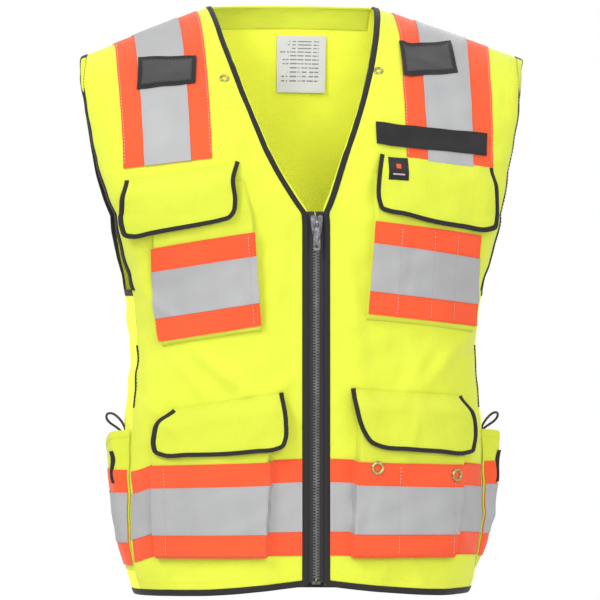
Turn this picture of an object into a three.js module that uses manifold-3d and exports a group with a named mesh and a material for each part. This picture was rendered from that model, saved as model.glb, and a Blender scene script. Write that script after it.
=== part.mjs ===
// High visibility work vest with zip front, flapped pockets and reflective tape.
// Millimetres, +Z up, front towards -Y. Left and right are the wearer's: left is +X.
// Heights are measured up from the lowest point of the hem. At the end the whole vest is
// lowered so that the origin lies midway between the high points of the two shoulders.
import * as THREE from 'three';
import { mergeVertices } from 'three/addons/utils/BufferGeometryUtils.js';
import Module from 'manifold-3d';

const wasm = await Module();
wasm.setup();

// ---------- driving dimensions ----------
const BODY_HALF_WIDTH = 186;      // centre to side, below the armholes
const FRONT_DEPTH = 115;          // side line to the front centre
const BACK_DEPTH = 100;           // side line to the back centre
const ROUNDNESS = 2.2;            // exponent of the body's plan outline
const ARMPIT_HEIGHT = 320;
const CHEST_HEIGHT = 400;         // where the V neck starts and the shoulders begin to curve
const CHEST_HALF_WIDTH = 202;
const ARMHOLE_FRONT_Y = -45;
const ARMHOLE_BACK_Y = 60;
const SHOULDER_HEIGHT = 622;      // high point of each shoulder, beside the neck
const SHOULDER_HALF_WIDTH = 235;
const NECK_HALF_WIDTH = 87;
const SHOULDER_DROP = 57;         // from the high point down to the shoulder tip
const SHOULDER_INNER_Y = 55;
const SHOULDER_TIP_Y = 10;
const BACK_NECK_RISE = 3;
const BACK_NECK_SET_BACK = 30;
const SHOULDER_CURVE = 1.8;       // exponent of the curve from chest to shoulder line
const SHOULDER_SPREAD = 2.6;      // how soon the columns spread to the shoulder width
const ARC_SPAN = 240;             // coordinate length of the curve above CHEST_HEIGHT
const HEM_RISE = 14;              // the hem lifts by this much at the front centre

const CLOTH = 1.2;                // thickness of a fabric layer
const TAPE = 1.0;                 // thickness of a sewn-on tape
const LAYER_GAP = 0.8;            // clearance between stacked layers
const EDGE_GAP = 0.5;             // clearance between pieces that meet edge to edge
const YOKE_GAP = 0.35;            // half of the running clearance under the yokes
const TRIM_GAP = 0.4;             // clearance under a small plate or eyelet
const BINDING_WIDTH = 6;
const BINDING_PROUD = 0.8;        // how far a binding stands out on each side of the cloth
const WIDE_TAPE = 101.6;          // contrast tape
const NARROW_TAPE = 50.8;         // reflective tape on its middle

const SEAM_ANGLE = 76;            // front edge of the side panel, degrees from front centre
const SEAM_CLEARANCE = 1.3;       // degrees from the seam to the cloth on each side
const YOKE_SEAM = 450;            // where the front panels end and the yokes begin
const SHOULDER_SEAM = CHEST_HEIGHT + ARC_SPAN - 0.6;
const FRONT_ARM_EDGE = 89.9;
const BACK_ARM_EDGE = 90.1;
const COLUMN_STEP = 8;            // degrees between mesh columns
const ROW_STEP = 24;              // mesh rows on curved stretches

const WAIST_BAND_BOTTOM = 44;
const CHEST_BAND_BOTTOM = 276;
const CHEST_DROOP = 15;           // outer end of the chest band and flap hang this much lower
const POCKET_PROUD = 12;
const POCKET_RAMP = 8;            // width of a pocket's sloping edge
const SIDE_POCKET_PROUD = 16;
const FLAP_THICKNESS = 1.6;

const ZIP_HALF_WIDTH = 13.5;
const ZIP_BOTTOM = 16;
const ZIP_TOP = CHEST_HEIGHT;
const SLIDER_LENGTH = 22;
const TOOTH_PITCH = 8;

const LAYER_1 = CLOTH + LAYER_GAP;
const LAYER_2 = LAYER_1 + TAPE + LAYER_GAP;
const LAYER_3 = LAYER_2 + TAPE + LAYER_GAP;

const FINISH = {
  lime: { color: 0xd9ee3a, roughness: 0.85, metalness: 0 },
  mesh: { color: 0xc3d636, roughness: 0.9, metalness: 0 },
  orange: { color: 0xff5a28, roughness: 0.8, metalness: 0 },
  silver: { color: 0xbfc0c2, roughness: 0.4, metalness: 0.2 },
  black: { color: 0x2c292c, roughness: 0.85, metalness: 0 },
  charcoal: { color: 0x4a4a4a, roughness: 0.95, metalness: 0 },
  white: { color: 0xe4e2e8, roughness: 0.8, metalness: 0 },
  plastic: { color: 0x3a3a3c, roughness: 0.45, metalness: 0 },
  metal: { color: 0x8a8a8e, roughness: 0.35, metalness: 0.9 },
  brass: { color: 0xc8be7a, roughness: 0.35, metalness: 0.9 },
};

const vest = new THREE.Group();

// ---------- the body surface that every cloth piece follows ----------
const radians = (degrees) => (degrees * Math.PI) / 180;
const mix = (a, b, share) => a + (b - a) * share;
const clamp01 = (value) => Math.min(1, Math.max(0, value));

// Share of the half width reached at an angle, and the angle for a share.
const shareAt = (angle) => Math.sin(radians(angle)) ** (2 / ROUNDNESS);
const angleAt = (share) => (Math.asin(clamp01(share) ** (ROUNDNESS / 2)) * 180) / Math.PI;

// End of a column on the shoulder line or on the back neck edge.
function shoulderPoint(share) {
  const x = SHOULDER_HALF_WIDTH * share;
  if (x < NECK_HALF_WIDTH) {
    const inward = 1 - (x / NECK_HALF_WIDTH) ** 2;
    const y = SHOULDER_INNER_Y + BACK_NECK_SET_BACK * inward;
    return new THREE.Vector3(x, y, SHOULDER_HEIGHT + BACK_NECK_RISE * inward);
  }
  const out = (x - NECK_HALF_WIDTH) / (SHOULDER_HALF_WIDTH - NECK_HALF_WIDTH);
  const y = mix(SHOULDER_INNER_Y, SHOULDER_TIP_Y, out);
  return new THREE.Vector3(x, y, SHOULDER_HEIGHT - SHOULDER_DROP * out);
}

const climbAt = (level) => clamp01((level - ARMPIT_HEIGHT) / (CHEST_HEIGHT - ARMPIT_HEIGHT));

// Smooth change from a value at the armpit to a value at the chest.
function easedAt(level, low, high) {
  const climb = climbAt(level);
  return mix(low, high, climb * climb * (3 - 2 * climb));
}

const halfWidthAt = (level) => easedAt(level, BODY_HALF_WIDTH, CHEST_HALF_WIDTH);

// Point on the body: angle 0 is the front centre, 90 the left side, 180 the back centre.
// Up to CHEST_HEIGHT the level is a height; above it, it runs on along the shoulder curve.
function bodyPoint(angle, level) {
  const side = angle <= 180 ? 1 : -1;
  const fold = angle <= 180 ? angle : 360 - angle;
  const front = fold < 90;
  const share = shareAt(fold);
  const inward = Math.abs(Math.cos(radians(fold))) ** (2 / ROUNDNESS);
  const edgeY = easedAt(level, 0, front ? ARMHOLE_FRONT_Y : ARMHOLE_BACK_Y);
  const centreY = front ? -FRONT_DEPTH : BACK_DEPTH;
  const low = new THREE.Vector3(halfWidthAt(level) * share, mix(edgeY, centreY, inward), level);
  if (level > CHEST_HEIGHT) {
    const top = shoulderPoint(share);
    const arc = Math.min(1, (level - CHEST_HEIGHT) / ARC_SPAN);
    const turn = radians(90 * arc);
    low.x = mix(low.x, top.x, 1 - (1 - arc) ** SHOULDER_SPREAD);
    low.y = mix(low.y, top.y, 1 - Math.cos(turn) ** (2 / SHOULDER_CURVE));
    low.z = mix(CHEST_HEIGHT, top.z, Math.sin(turn) ** (2 / SHOULDER_CURVE));
  }
  return new THREE.Vector3(side * low.x, low.y, low.z);
}

// Outward direction, from points on the same side of the armhole.
function bodyNormal(angle, level) {
  const step = 1;
  const fold = angle <= 180 ? angle : 360 - angle;
  let [from, to] = [angle - step, angle + step];
  if (Math.abs(fold - 90) <= step) {
    const outward = (fold < 90) === (angle <= 180);
    [from, to] = outward ? [angle - step, angle] : [angle, angle + step];
  }
  if (angle - step < 0) [from, to] = [angle, angle + step];
  if (angle + step > 360) [from, to] = [angle - step, angle];
  const top = CHEST_HEIGHT + ARC_SPAN;
  const around = bodyPoint(to, level).sub(bodyPoint(from, level));
  const up = bodyPoint(angle, Math.min(top, level + 4)).sub(bodyPoint(angle, level - 4));
  return around.cross(up).normalize();
}

function proudPoint(angle, level, offset) {
  return bodyPoint(angle, level).addScaledVector(bodyNormal(angle, level), offset);
}

// The angle whose point lies a distance along the cloth from an edge angle.
function insetAngle(edge, level, distance, direction) {
  const start = bodyPoint(edge, level);
  let angle = edge;
  while (bodyPoint(angle, level).distanceTo(start) < Math.abs(distance)) angle += direction * 0.1;
  return angle;
}

// ---------- closed solids ----------
function closedGeometry(points, faces) {
  const geometry = new THREE.BufferGeometry();
  geometry.setAttribute('position', new THREE.Float32BufferAttribute(points.flat(), 3));
  geometry.setIndex(signedVolume(points, faces) < 0 ? faces.map(([a, b, c]) => [a, c, b]).flat()
    : faces.flat());
  return geometry;
}

function signedVolume(points, faces) {
  const corner = new THREE.Vector3();
  let sum = 0;
  for (const [a, b, c] of faces) {
    corner.fromArray(points[b]).cross(new THREE.Vector3().fromArray(points[c]));
    sum += corner.dot(new THREE.Vector3().fromArray(points[a]));
  }
  return sum;
}

// A sheet of cloth over a lattice of [angle, level] places, between two offsets.
function sheet(lattice, inner, outer) {
  const rows = lattice.length;
  const columns = lattice[0].length;
  const height = (value, place) => (typeof value === 'function' ? value(...place) : value);
  const skin = (value) => lattice.flat().map(
    (place) => proudPoint(place[0], place[1], height(value, place)).toArray());
  const points = [...skin(outer), ...skin(inner)];
  const under = rows * columns;
  const faces = [];
  const quad = (a, b, c, d) => faces.push([a, b, c], [a, c, d]);
  for (let row = 0; row < rows - 1; row += 1) {
    for (let column = 0; column < columns - 1; column += 1) {
      const at = row * columns + column;
      quad(at, at + 1, at + columns + 1, at + columns);
      quad(under + at, under + at + columns, under + at + columns + 1, under + at + 1);
    }
  }
  const rim = rimOf(rows, columns);
  rim.forEach((at, index) => {
    const next = rim[(index + 1) % rim.length];
    quad(at, under + at, under + next, next);
  });
  return closedGeometry(points, faces);
}

function rimOf(rows, columns) {
  const rim = [];
  for (let column = 0; column < columns - 1; column += 1) rim.push(column);
  for (let row = 0; row < rows - 1; row += 1) rim.push(row * columns + columns - 1);
  for (let column = columns - 1; column > 0; column -= 1) rim.push((rows - 1) * columns + column);
  for (let row = rows - 1; row > 0; row -= 1) rim.push(row * columns);
  return rim;
}

// Lattice lines: the two ends, the whole steps between them and any extra lines.
function lines(from, to, step, extra = []) {
  const found = [from, to, ...extra];
  for (let value = Math.ceil(from / step) * step; value < to; value += step) found.push(value);
  const sorted = found.sort((a, b) => a - b);
  return sorted.filter((value, index) => index === 0 || value - sorted[index - 1] > 0.05);
}

// Levels between two ends, with the extra rows that the curved stretches need.
const CURVED_ROWS = [16, 32, 48, 64, 80].map((rise) => ARMPIT_HEIGHT + rise);
function levels(from, to, extra = []) {
  const curved = CURVED_ROWS.filter((level) => level > from && level < to);
  const high = to > CHEST_HEIGHT ? lines(Math.max(from, CHEST_HEIGHT), to, ROW_STEP) : [];
  const found = [from, to, ...curved, ...high, ...extra].sort((a, b) => a - b);
  return found.filter((value, index) => index === 0 || value - found[index - 1] > 0.8);
}

const grid = (angles, heights) => heights.map((level) => angles.map((angle) => [angle, level]));
const mirrored = (lattice) => lattice.map((row) => row.map(([angle, ...rest]) => [360 - angle, ...rest]));
const sided = (side, lattice) => (side === 'left' ? lattice : mirrored(lattice));

function addPiece(name, geometry, finish) {
  const mesh = new THREE.Mesh(geometry, new THREE.MeshStandardMaterial(FINISH[finish]));
  mesh.name = name;
  vest.add(mesh);
  return mesh;
}

// ---------- edges ----------
// The V neck edge: from the zip up to the high point of the shoulder.
function neckAngle(level) {
  const zipShare = ZIP_HALF_WIDTH / halfWidthAt(level);
  if (level <= CHEST_HEIGHT) return angleAt(zipShare);
  const arc = (level - CHEST_HEIGHT) / ARC_SPAN;
  const top = NECK_HALF_WIDTH / SHOULDER_HALF_WIDTH;
  return angleAt(mix(zipShare, top, 1 - (1 - arc) ** 2.2));
}

// The front armhole edge: leaves the side seam at the armpit and reaches the full width.
function frontArmAngle(level) {
  return mix(SEAM_ANGLE - SEAM_CLEARANCE, FRONT_ARM_EDGE, climbAt(level));
}

const hemLevel = (angle) => {
  const fold = angle <= 180 ? angle : 360 - angle;
  return fold < 90 ? HEM_RISE * (1 - shareAt(fold)) ** 2 : 0;
};
const hemTop = (angle) => hemLevel(angle) + BINDING_WIDTH + EDGE_GAP;
const neckInner = (level) => insetAngle(neckAngle(level), level, BINDING_WIDTH + EDGE_GAP, 1);
const armInner = (level) => insetAngle(frontArmAngle(level), level, BINDING_WIDTH + EDGE_GAP, -1);

const bindingInside = -BINDING_PROUD;
const bindingOutside = CLOTH + BINDING_PROUD;

// A strip between two edges that are given point by point.
const strip = (edge, inner) => sheet([edge, inner], bindingInside, bindingOutside);

// ---------- back, sides, yokes ----------
// Below the arms the back reaches round to the side seams; above, to the armholes.
const SHAPED_COLUMNS = 3;
const STEADY_ANGLE = 108;         // behind this angle the columns keep their place

function addBackPanel() {
  const inset = BINDING_WIDTH + EDGE_GAP;
  const underArm = ARMPIT_HEIGHT - inset;
  const edges = [inset, ARMPIT_HEIGHT / 2, underArm].map((level) => [
    SEAM_ANGLE + SEAM_CLEARANCE, level]);
  edges.push([BACK_ARM_EDGE, underArm + EDGE_GAP / 2]);
  for (const level of levels(ARMPIT_HEIGHT + 2.5, SHOULDER_SEAM)) {
    edges.push([insetAngle(BACK_ARM_EDGE, level, inset, 1), level]);
  }
  const steady = lines(STEADY_ANGLE, 180, COLUMN_STEP);
  const lattice = edges.map(([edge, level]) => {
    const shaped = Array.from({ length: SHAPED_COLUMNS }, (_, index) => mix(
      edge, STEADY_ANGLE, index / SHAPED_COLUMNS));
    const half = [...shaped, ...steady];
    return [...half, ...half.slice(0, -1).reverse().map((angle) => 360 - angle)].map(
      (angle) => [angle, level]);
  });
  addPiece('back_panel', sheet(lattice, 0, CLOTH), 'mesh');
}

function addYoke(side) {
  const columns = 10;
  const lattice = levels(YOKE_SEAM + YOKE_GAP, SHOULDER_SEAM).map((level) => {
    const [from, to] = [neckInner(level), armInner(level)];
    return Array.from({ length: columns + 1 }, (_, index) => [
      mix(from, to, index / columns), level]);
  });
  addPiece(`yoke_${side}`, sheet(sided(side, lattice), 0, CLOTH), 'lime');
}

function addNeckParts() {
  const edge = angleAt(NECK_HALF_WIDTH / SHOULDER_HALF_WIDTH) - 1;
  const facing = grid(lines(180 - edge, 180 + edge, COLUMN_STEP), levels(570, SHOULDER_SEAM));
  const under = -LAYER_GAP;
  addPiece('neck_facing', sheet(facing, under - TAPE, under), 'lime');
  const label = grid(lines(171.5, 184.5, COLUMN_STEP), levels(505, 564));
  addPiece('size_label', sheet(label, -LAYER_GAP - TAPE, -LAYER_GAP), 'white');
}

function addNeckBinding(side) {
  const heights = levels(YOKE_SEAM + YOKE_GAP, SHOULDER_SEAM);
  const edge = heights.map((level) => [neckAngle(level), level]);
  const inner = heights.map((level) => [
    insetAngle(neckAngle(level), level, BINDING_WIDTH, 1), level]);
  addPiece(`neck_binding_${side}`, strip(...sided(side, [edge, inner])), 'black');
}

// Runs from the yoke seam over the shoulder tip, down the back and under the arm.
function addArmholeBinding(side) {
  const front = levels(YOKE_SEAM + YOKE_GAP, CHEST_HEIGHT + ARC_SPAN);
  const back = levels(ARMPIT_HEIGHT + 2, SHOULDER_SEAM).reverse();
  const edge = [
    ...front.map((level) => [FRONT_ARM_EDGE, level]),
    ...back.map((level) => [BACK_ARM_EDGE, level]),
    [86, ARMPIT_HEIGHT], [SEAM_ANGLE + SEAM_CLEARANCE, ARMPIT_HEIGHT],
  ];
  const inner = [
    ...front.map((level) => [insetAngle(FRONT_ARM_EDGE, level, BINDING_WIDTH, -1), level]),
    ...back.map((level) => [insetAngle(BACK_ARM_EDGE, level, BINDING_WIDTH, 1), level]),
    [86, ARMPIT_HEIGHT - BINDING_WIDTH],
    [SEAM_ANGLE + SEAM_CLEARANCE, ARMPIT_HEIGHT - BINDING_WIDTH],
  ];
  addPiece(`armhole_binding_${side}`, strip(...sided(side, [edge, inner])), 'black');
}

function addBackHemBinding() {
  const seam = SEAM_ANGLE + SEAM_CLEARANCE;
  const angles = lines(seam, 360 - seam, COLUMN_STEP);
  const hem = grid(angles, [0, BINDING_WIDTH]);
  addPiece('back_hem_binding', sheet(hem, bindingInside, bindingOutside), 'black');
}

// ---------- tapes ----------
const FRONT_TAPE_CENTRE = 152;
const BACK_TAPE_CENTRE = 112;
const TAPE_ON_BODY = 96;          // width of the contrast tape seen square on

// Path of a shoulder tape: up the front, over the shoulder and down the back to the waist.
function overShoulder(width, columns) {
  const crest = CHEST_HEIGHT + ARC_SPAN;
  const front = levels(YOKE_SEAM + YOKE_GAP, crest);
  const waist = WAIST_BAND_BOTTOM + WIDE_TAPE + EDGE_GAP;
  const back = levels(waist, crest - ROW_STEP / 2, [ARMPIT_HEIGHT]).reverse();
  const angles = (level, centre) => Array.from({ length: columns + 1 }, (_, index) => {
    const x = centre + width * (index / columns - 0.5);
    return angleAt(x / bodyPoint(FRONT_ARM_EDGE, level).x);
  });
  const behind = (level) => mix(BACK_TAPE_CENTRE, FRONT_TAPE_CENTRE,
    clamp01((level - CHEST_HEIGHT) / ARC_SPAN) ** 2);
  return [
    ...front.map((level) => angles(level, FRONT_TAPE_CENTRE).map((angle) => [angle, level])),
    ...back.map((level) => angles(level, behind(level)).map((angle) => [180 - angle, level])),
  ];
}

function addShoulderTapes(side) {
  const orange = overShoulder(TAPE_ON_BODY, 8);
  const silver = overShoulder(TAPE_ON_BODY / 2, 4);
  addPiece(`shoulder_tape_${side}`, sheet(sided(side, orange), LAYER_1, LAYER_1 + TAPE), 'orange');
  addPiece(`shoulder_silver_${side}`, sheet(sided(side, silver), LAYER_2, LAYER_2 + TAPE), 'silver');
}

// ---------- pockets ----------
// A pocket stands proud between two angles and slopes down to the cloth at its edges.
const CHEST_POCKET = { from: 16, to: 66, bottom: 266, top: 425, ramp: 3.2, proud: POCKET_PROUD };
const LOWER_POCKET = { from: 13, to: 63, bottom: 33, top: 205, ramp: 3.2, proud: POCKET_PROUD };
const SIDE_POCKET = { from: 79, to: 116, bottom: 26, top: 168, ramp: 5, proud: SIDE_POCKET_PROUD };

const pocketLines = (pocket) => [
  pocket.from, pocket.from + pocket.ramp, pocket.to - pocket.ramp, pocket.to];

// Height of a pocket's outer face above the body across its width.
function pocketHeight(pocket, angle) {
  const edge = LAYER_1 + CLOTH;
  const fromEdge = Math.min(angle - pocket.from, pocket.to - angle);
  return mix(edge, pocket.proud, clamp01(fromEdge / pocket.ramp));
}

function pocketSheet(pocket, droop) {
  const angles = lines(pocket.from, pocket.to, COLUMN_STEP, pocketLines(pocket));
  const heights = levels(pocket.bottom, pocket.top, [pocket.bottom + POCKET_RAMP]);
  const lattice = heights.map((level) => angles.map((angle) => [
    angle, level - droop(angle), level]));
  const outer = (angle, _, level) => {
    const rise = clamp01((level - pocket.bottom) / POCKET_RAMP);
    const fold = angle <= 180 ? angle : 360 - angle;
    return mix(LAYER_1 + CLOTH, pocketHeight(pocket, fold), rise);
  };
  return { lattice, inner: (...place) => outer(...place) - CLOTH, outer };
}

const noDroop = () => 0;
const chestDroop = (angle) => (CHEST_DROOP * (angle - CHEST_POCKET.from))
  / (CHEST_POCKET.to - CHEST_POCKET.from);

function addPocket(name, side, pocket, droop, finish) {
  const { lattice, inner, outer } = pocketSheet(pocket, droop);
  addPiece(`${name}_${side}`, sheet(sided(side, lattice), inner, outer), finish);
}

// A tape across a pocket, edge to edge, or round the body over a pocket.
function bandOver(pocket, from, to, bottom, top, droop, layer) {
  const margin = 0.8;
  const breaks = [pocket.from - margin, ...pocketLines(pocket), pocket.to + margin];
  const kept = breaks.filter((angle) => angle > from && angle < to);
  const angles = lines(from, to, COLUMN_STEP, kept);
  const heights = levels(bottom, top);
  const lattice = heights.map((level) => angles.map((angle) => [angle, level - droop(angle)]));
  const base = (angle) => {
    const fold = angle <= 180 ? angle : 360 - angle;
    if (fold < pocket.from - margin / 2 || fold > pocket.to + margin / 2) return CLOTH;
    return pocketHeight(pocket, fold);
  };
  const inner = (angle) => base(angle) + LAYER_GAP + layer * (TAPE + LAYER_GAP);
  return { lattice, inner, outer: (angle) => inner(angle) + TAPE };
}

function addBand(name, side, band, finish) {
  addPiece(`${name}_${side}`, sheet(sided(side, band.lattice), band.inner, band.outer), finish);
}

const middle = (bottom, width) => [bottom + (WIDE_TAPE - width) / 2, bottom + (WIDE_TAPE + width) / 2];

function addChestBands(side) {
  const [from, to] = [CHEST_POCKET.from + 0.4, CHEST_POCKET.to - 0.4];
  const wide = middle(CHEST_BAND_BOTTOM, WIDE_TAPE);
  const narrow = middle(CHEST_BAND_BOTTOM, NARROW_TAPE);
  addBand('chest_tape', side, bandOver(CHEST_POCKET, from, to, ...wide, chestDroop, 0), 'orange');
  addBand('chest_silver', side, bandOver(CHEST_POCKET, from, to, ...narrow, chestDroop, 1), 'silver');
}

const frontEdge = () => neckInner(CHEST_HEIGHT / 2);

function addFrontWaistBands(side) {
  const [from, to] = [frontEdge(), SEAM_ANGLE - SEAM_CLEARANCE];
  const wide = middle(WAIST_BAND_BOTTOM, WIDE_TAPE);
  const narrow = middle(WAIST_BAND_BOTTOM, NARROW_TAPE);
  addBand('waist_tape', side, bandOver(LOWER_POCKET, from, to, ...wide, noDroop, 0), 'orange');
  addBand('waist_silver', side, bandOver(LOWER_POCKET, from, to, ...narrow, noDroop, 1), 'silver');
}

// The back band runs from seam to seam round the back, over both side pockets.
function addBackWaistBands() {
  const from = SEAM_ANGLE + SEAM_CLEARANCE;
  for (const [name, width, layer, finish] of [
    ['waist_tape_back', WIDE_TAPE, 0, 'orange'], ['waist_silver_back', NARROW_TAPE, 1, 'silver']]) {
    const half = bandOver(SIDE_POCKET, from, 180, ...middle(WAIST_BAND_BOTTOM, width), noDroop, layer);
    const lattice = half.lattice.map((row) => [
      ...row, ...row.slice(0, -1).reverse().map(([angle, level]) => [360 - angle, level])]);
    addPiece(name, sheet(lattice, half.inner, half.outer), finish);
  }
}

// ---------- front panels ----------
const ARM_BINDING_START = ARMPIT_HEIGHT + BINDING_WIDTH + 1;

function addFrontPanel(side) {
  const columns = 11;
  const top = YOKE_SEAM - YOKE_GAP;
  const sideTop = ARM_BINDING_START - 2 * EDGE_GAP;
  const heights = levels(WAIST_BAND_BOTTOM, top, [ARMPIT_HEIGHT, sideTop - 1, sideTop]);
  const row = (level) => {
    const from = neckInner(level);
    const to = level < sideTop ? SEAM_ANGLE - SEAM_CLEARANCE : armInner(level);
    return Array.from({ length: columns + 1 }, (_, index) => [mix(from, to, index / columns), level]);
  };
  const hem = row(WAIST_BAND_BOTTOM).map(([angle]) => [angle, hemTop(angle)]);
  const lattice = [hem, ...heights.map(row)];
  addPiece(`front_panel_${side}`, sheet(sided(side, lattice), 0, CLOTH), 'lime');
}

// Down the V, down the zip edge, round the corner and along the hem to the side seam.
function addFrontBinding(side) {
  const down = levels(WAIST_BAND_BOTTOM, YOKE_SEAM - YOKE_GAP, [ARMPIT_HEIGHT]).reverse();
  const inside = (level) => insetAngle(neckAngle(level), level, BINDING_WIDTH, 1);
  const corner = inside(0);
  const hem = lines(corner, SEAM_ANGLE - SEAM_CLEARANCE, COLUMN_STEP);
  const edge = [
    ...down.map((level) => [neckAngle(level), level]),
    [neckAngle(0), hemLevel(neckAngle(0))],
    ...hem.slice(1).map((angle) => [angle, hemLevel(angle)]),
  ];
  const inner = [
    ...down.map((level) => [inside(level), level]),
    [corner, hemLevel(corner) + BINDING_WIDTH],
    ...hem.slice(1).map((angle) => [angle, hemLevel(angle) + BINDING_WIDTH]),
  ];
  addPiece(`front_binding_${side}`, strip(...sided(side, [edge, inner])), 'black');
}

function addFrontArmBinding(side) {
  const heights = levels(ARM_BINDING_START, YOKE_SEAM - YOKE_GAP);
  const edge = heights.map((level) => [frontArmAngle(level), level]);
  const inner = heights.map((level) => [
    insetAngle(frontArmAngle(level), level, BINDING_WIDTH, -1), level]);
  addPiece(`front_arm_binding_${side}`, strip(...sided(side, [edge, inner])), 'black');
}

// ---------- flaps ----------
const CHEST_FLAP = { from: 17.5, to: 68.5, top: 446, bottom: 391, corner: 12, droop: 6 };
const LOWER_FLAP = { from: 10, to: 62, top: 218, bottom: 156, corner: 12, droop: 10 };
const FLAP_BINDING = 4;

// Places of a flap's lattice: its lower corners are rounded by lifting the outer columns.
function flapPlaces(flap, grow) {
  const columns = 8;
  const across = (share) => mix(flap.from - grow.angle, flap.to + grow.angle, share);
  const cornerShare = 0.12;
  const lift = (share) => {
    const near = Math.min(share, 1 - share) / cornerShare;
    return near >= 1 ? 0 : flap.corner * (1 - Math.sqrt(1 - (1 - near) ** 2));
  };
  const shares = [0, 0.035, cornerShare, ...Array.from({ length: columns - 1 }, (_, index) => mix(
    cornerShare, 1 - cornerShare, (index + 1) / columns)), 1 - cornerShare, 0.965, 1];
  const bottom = (share) => flap.bottom - grow.level + lift(share) - flap.droop * (share - 0.5);
  const top = (share) => flap.top - flap.droop * (share - 0.5);
  return { shares, across, bottom, top };
}

const FLAP_INNER = POCKET_PROUD + LAYER_GAP;

function addFlap(name, side, flap) {
  const places = flapPlaces(flap, { angle: 0, level: 0 });
  const rows = [0, 0.5, 1];
  const lattice = rows.map((rise) => places.shares.map((share) => [
    places.across(share), mix(places.bottom(share), places.top(share), rise)]));
  const geometry = sheet(sided(side, lattice), FLAP_INNER, FLAP_INNER + FLAP_THICKNESS);
  addPiece(`${name}_${side}`, geometry, 'lime');
}

// The flap's binding: one strip down a side, along the bottom and up the other side.
function addFlapBinding(name, side, flap) {
  const gap = { angle: 0.25, level: EDGE_GAP };
  const wide = { angle: 0.25 + 1.7, level: EDGE_GAP + FLAP_BINDING };
  const run = (grow) => {
    const places = flapPlaces(flap, grow);
    const end = places.shares.length - 1;
    const heights = [places.top, (share) => mix(places.bottom(share), places.top(share), 0.5)];
    const sideRun = (share) => heights.map((height) => [places.across(share), height(share)]);
    const bottom = places.shares.map((share) => [places.across(share), places.bottom(share)]);
    return [...sideRun(0), ...bottom, ...sideRun(places.shares[end]).reverse()];
  };
  const lattice = [run(wide), run(gap)];
  const [inner, outer] = [FLAP_INNER - 0.3, FLAP_INNER + FLAP_THICKNESS + 0.3];
  addPiece(`${name}_binding_${side}`, sheet(sided(side, lattice), inner, outer), 'black');
}

// ---------- small flat pieces laid tangent to the cloth ----------
// Frame whose origin lies a set height above the body, level across, facing outward.
function tangentFrame(angle, level, base) {
  const normal = bodyNormal(angle, level);
  const across = new THREE.Vector3(0, 0, 1).cross(normal).normalize();
  const frame = new THREE.Matrix4().makeBasis(across, normal.clone().cross(across), normal);
  return frame.setPosition(proudPoint(angle, level, base));
}

function addPlate(name, side, angle, level, base, geometry, finish) {
  const turned = side === 'left' ? angle : 360 - angle;
  addPiece(name, geometry, finish).applyMatrix4(tangentFrame(turned, level, base));
}

const plate = (width, height, thickness) => new THREE.BoxGeometry(width, height, thickness)
  .translate(0, 0, thickness / 2);

// A ring with a flat face, closed all round.
function ring(innerRadius, outerRadius, height) {
  const profile = [[innerRadius, 0], [outerRadius, 0], [outerRadius, height], [innerRadius, height],
    [innerRadius, 0]].map(([x, y]) => new THREE.Vector2(x, y));
  const geometry = new THREE.LatheGeometry(profile, 20);
  return geometry.rotateX(Math.PI / 2);
}

function addShoulderTrim() {
  for (const side of ['left', 'right']) {
    addPlate(`mic_tab_${side}`, side, 38, 518, LAYER_2 + TAPE + TRIM_GAP, plate(56, 32, 1.8), 'charcoal');
    addPlate(`neck_eyelet_${side}`, side, 21.5, 512, CLOTH + TRIM_GAP / 2, ring(2.5, 5.2, 1.4), 'brass');
  }
  const name = grid(lines(21, 73, COLUMN_STEP), levels(462, 488));
  addPiece('name_strip', sheet(name, LAYER_3, LAYER_3 + TAPE), 'charcoal');
}

function addWovenLabel() {
  addPlate('woven_label', 'left', 26, 424, FLAP_INNER + FLAP_THICKNESS + TRIM_GAP, plate(19, 25, 0.8), 'black');
}

function addPocketEyelets() {
  const base = POCKET_PROUD + LAYER_GAP + TAPE + TRIM_GAP;
  addPlate('pocket_eyelet_inner', 'left', 24, 133, base, ring(3, 6.2, 1.6), 'brass');
  addPlate('pocket_eyelet_outer', 'left', 52, 133, base, ring(3, 6.2, 1.6), 'brass');
}

// ---------- zip ----------
const ZIP_TAPE_INNER = 7;
const TOOTH_TIP = 1.5;
const TOOTH_ROOT = 4;
const COMB_EDGE = ZIP_TAPE_INNER - 0.3;
const SLIDER_HALF_WIDTH = 6.5;
const SLIDER_TOP = ZIP_TOP - 2;
const SLIDER_LOW = ZIP_BOTTOM + 2;
const BOX_BOTTOM = ZIP_BOTTOM - 3;

// A solid from an outline in the plane of the zip, between two distances in front of it.
function zipSolid(outline, back, front, holes = []) {
  const shape = new THREE.Shape(outline.map(([x, z]) => new THREE.Vector2(x, z)));
  shape.holes.push(...holes);
  const geometry = new THREE.ExtrudeGeometry(shape, { depth: front - back, bevelEnabled: false });
  return geometry.rotateX(Math.PI / 2).translate(0, -FRONT_DEPTH - back, 0);
}

const rectangle = (x0, z0, x1, z1) => [[x0, z0], [x1, z0], [x1, z1], [x0, z1]];

function addZipTape(side) {
  const sign = side === 'left' ? 1 : -1;
  const edge = ZIP_HALF_WIDTH - EDGE_GAP;
  const [x0, x1] = [sign * ZIP_TAPE_INNER, sign * edge].sort((a, b) => a - b);
  addPiece(`zip_tape_${side}`, zipSolid(rectangle(x0, ZIP_BOTTOM, x1, ZIP_TOP), 0, TAPE), 'black');
}

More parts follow.
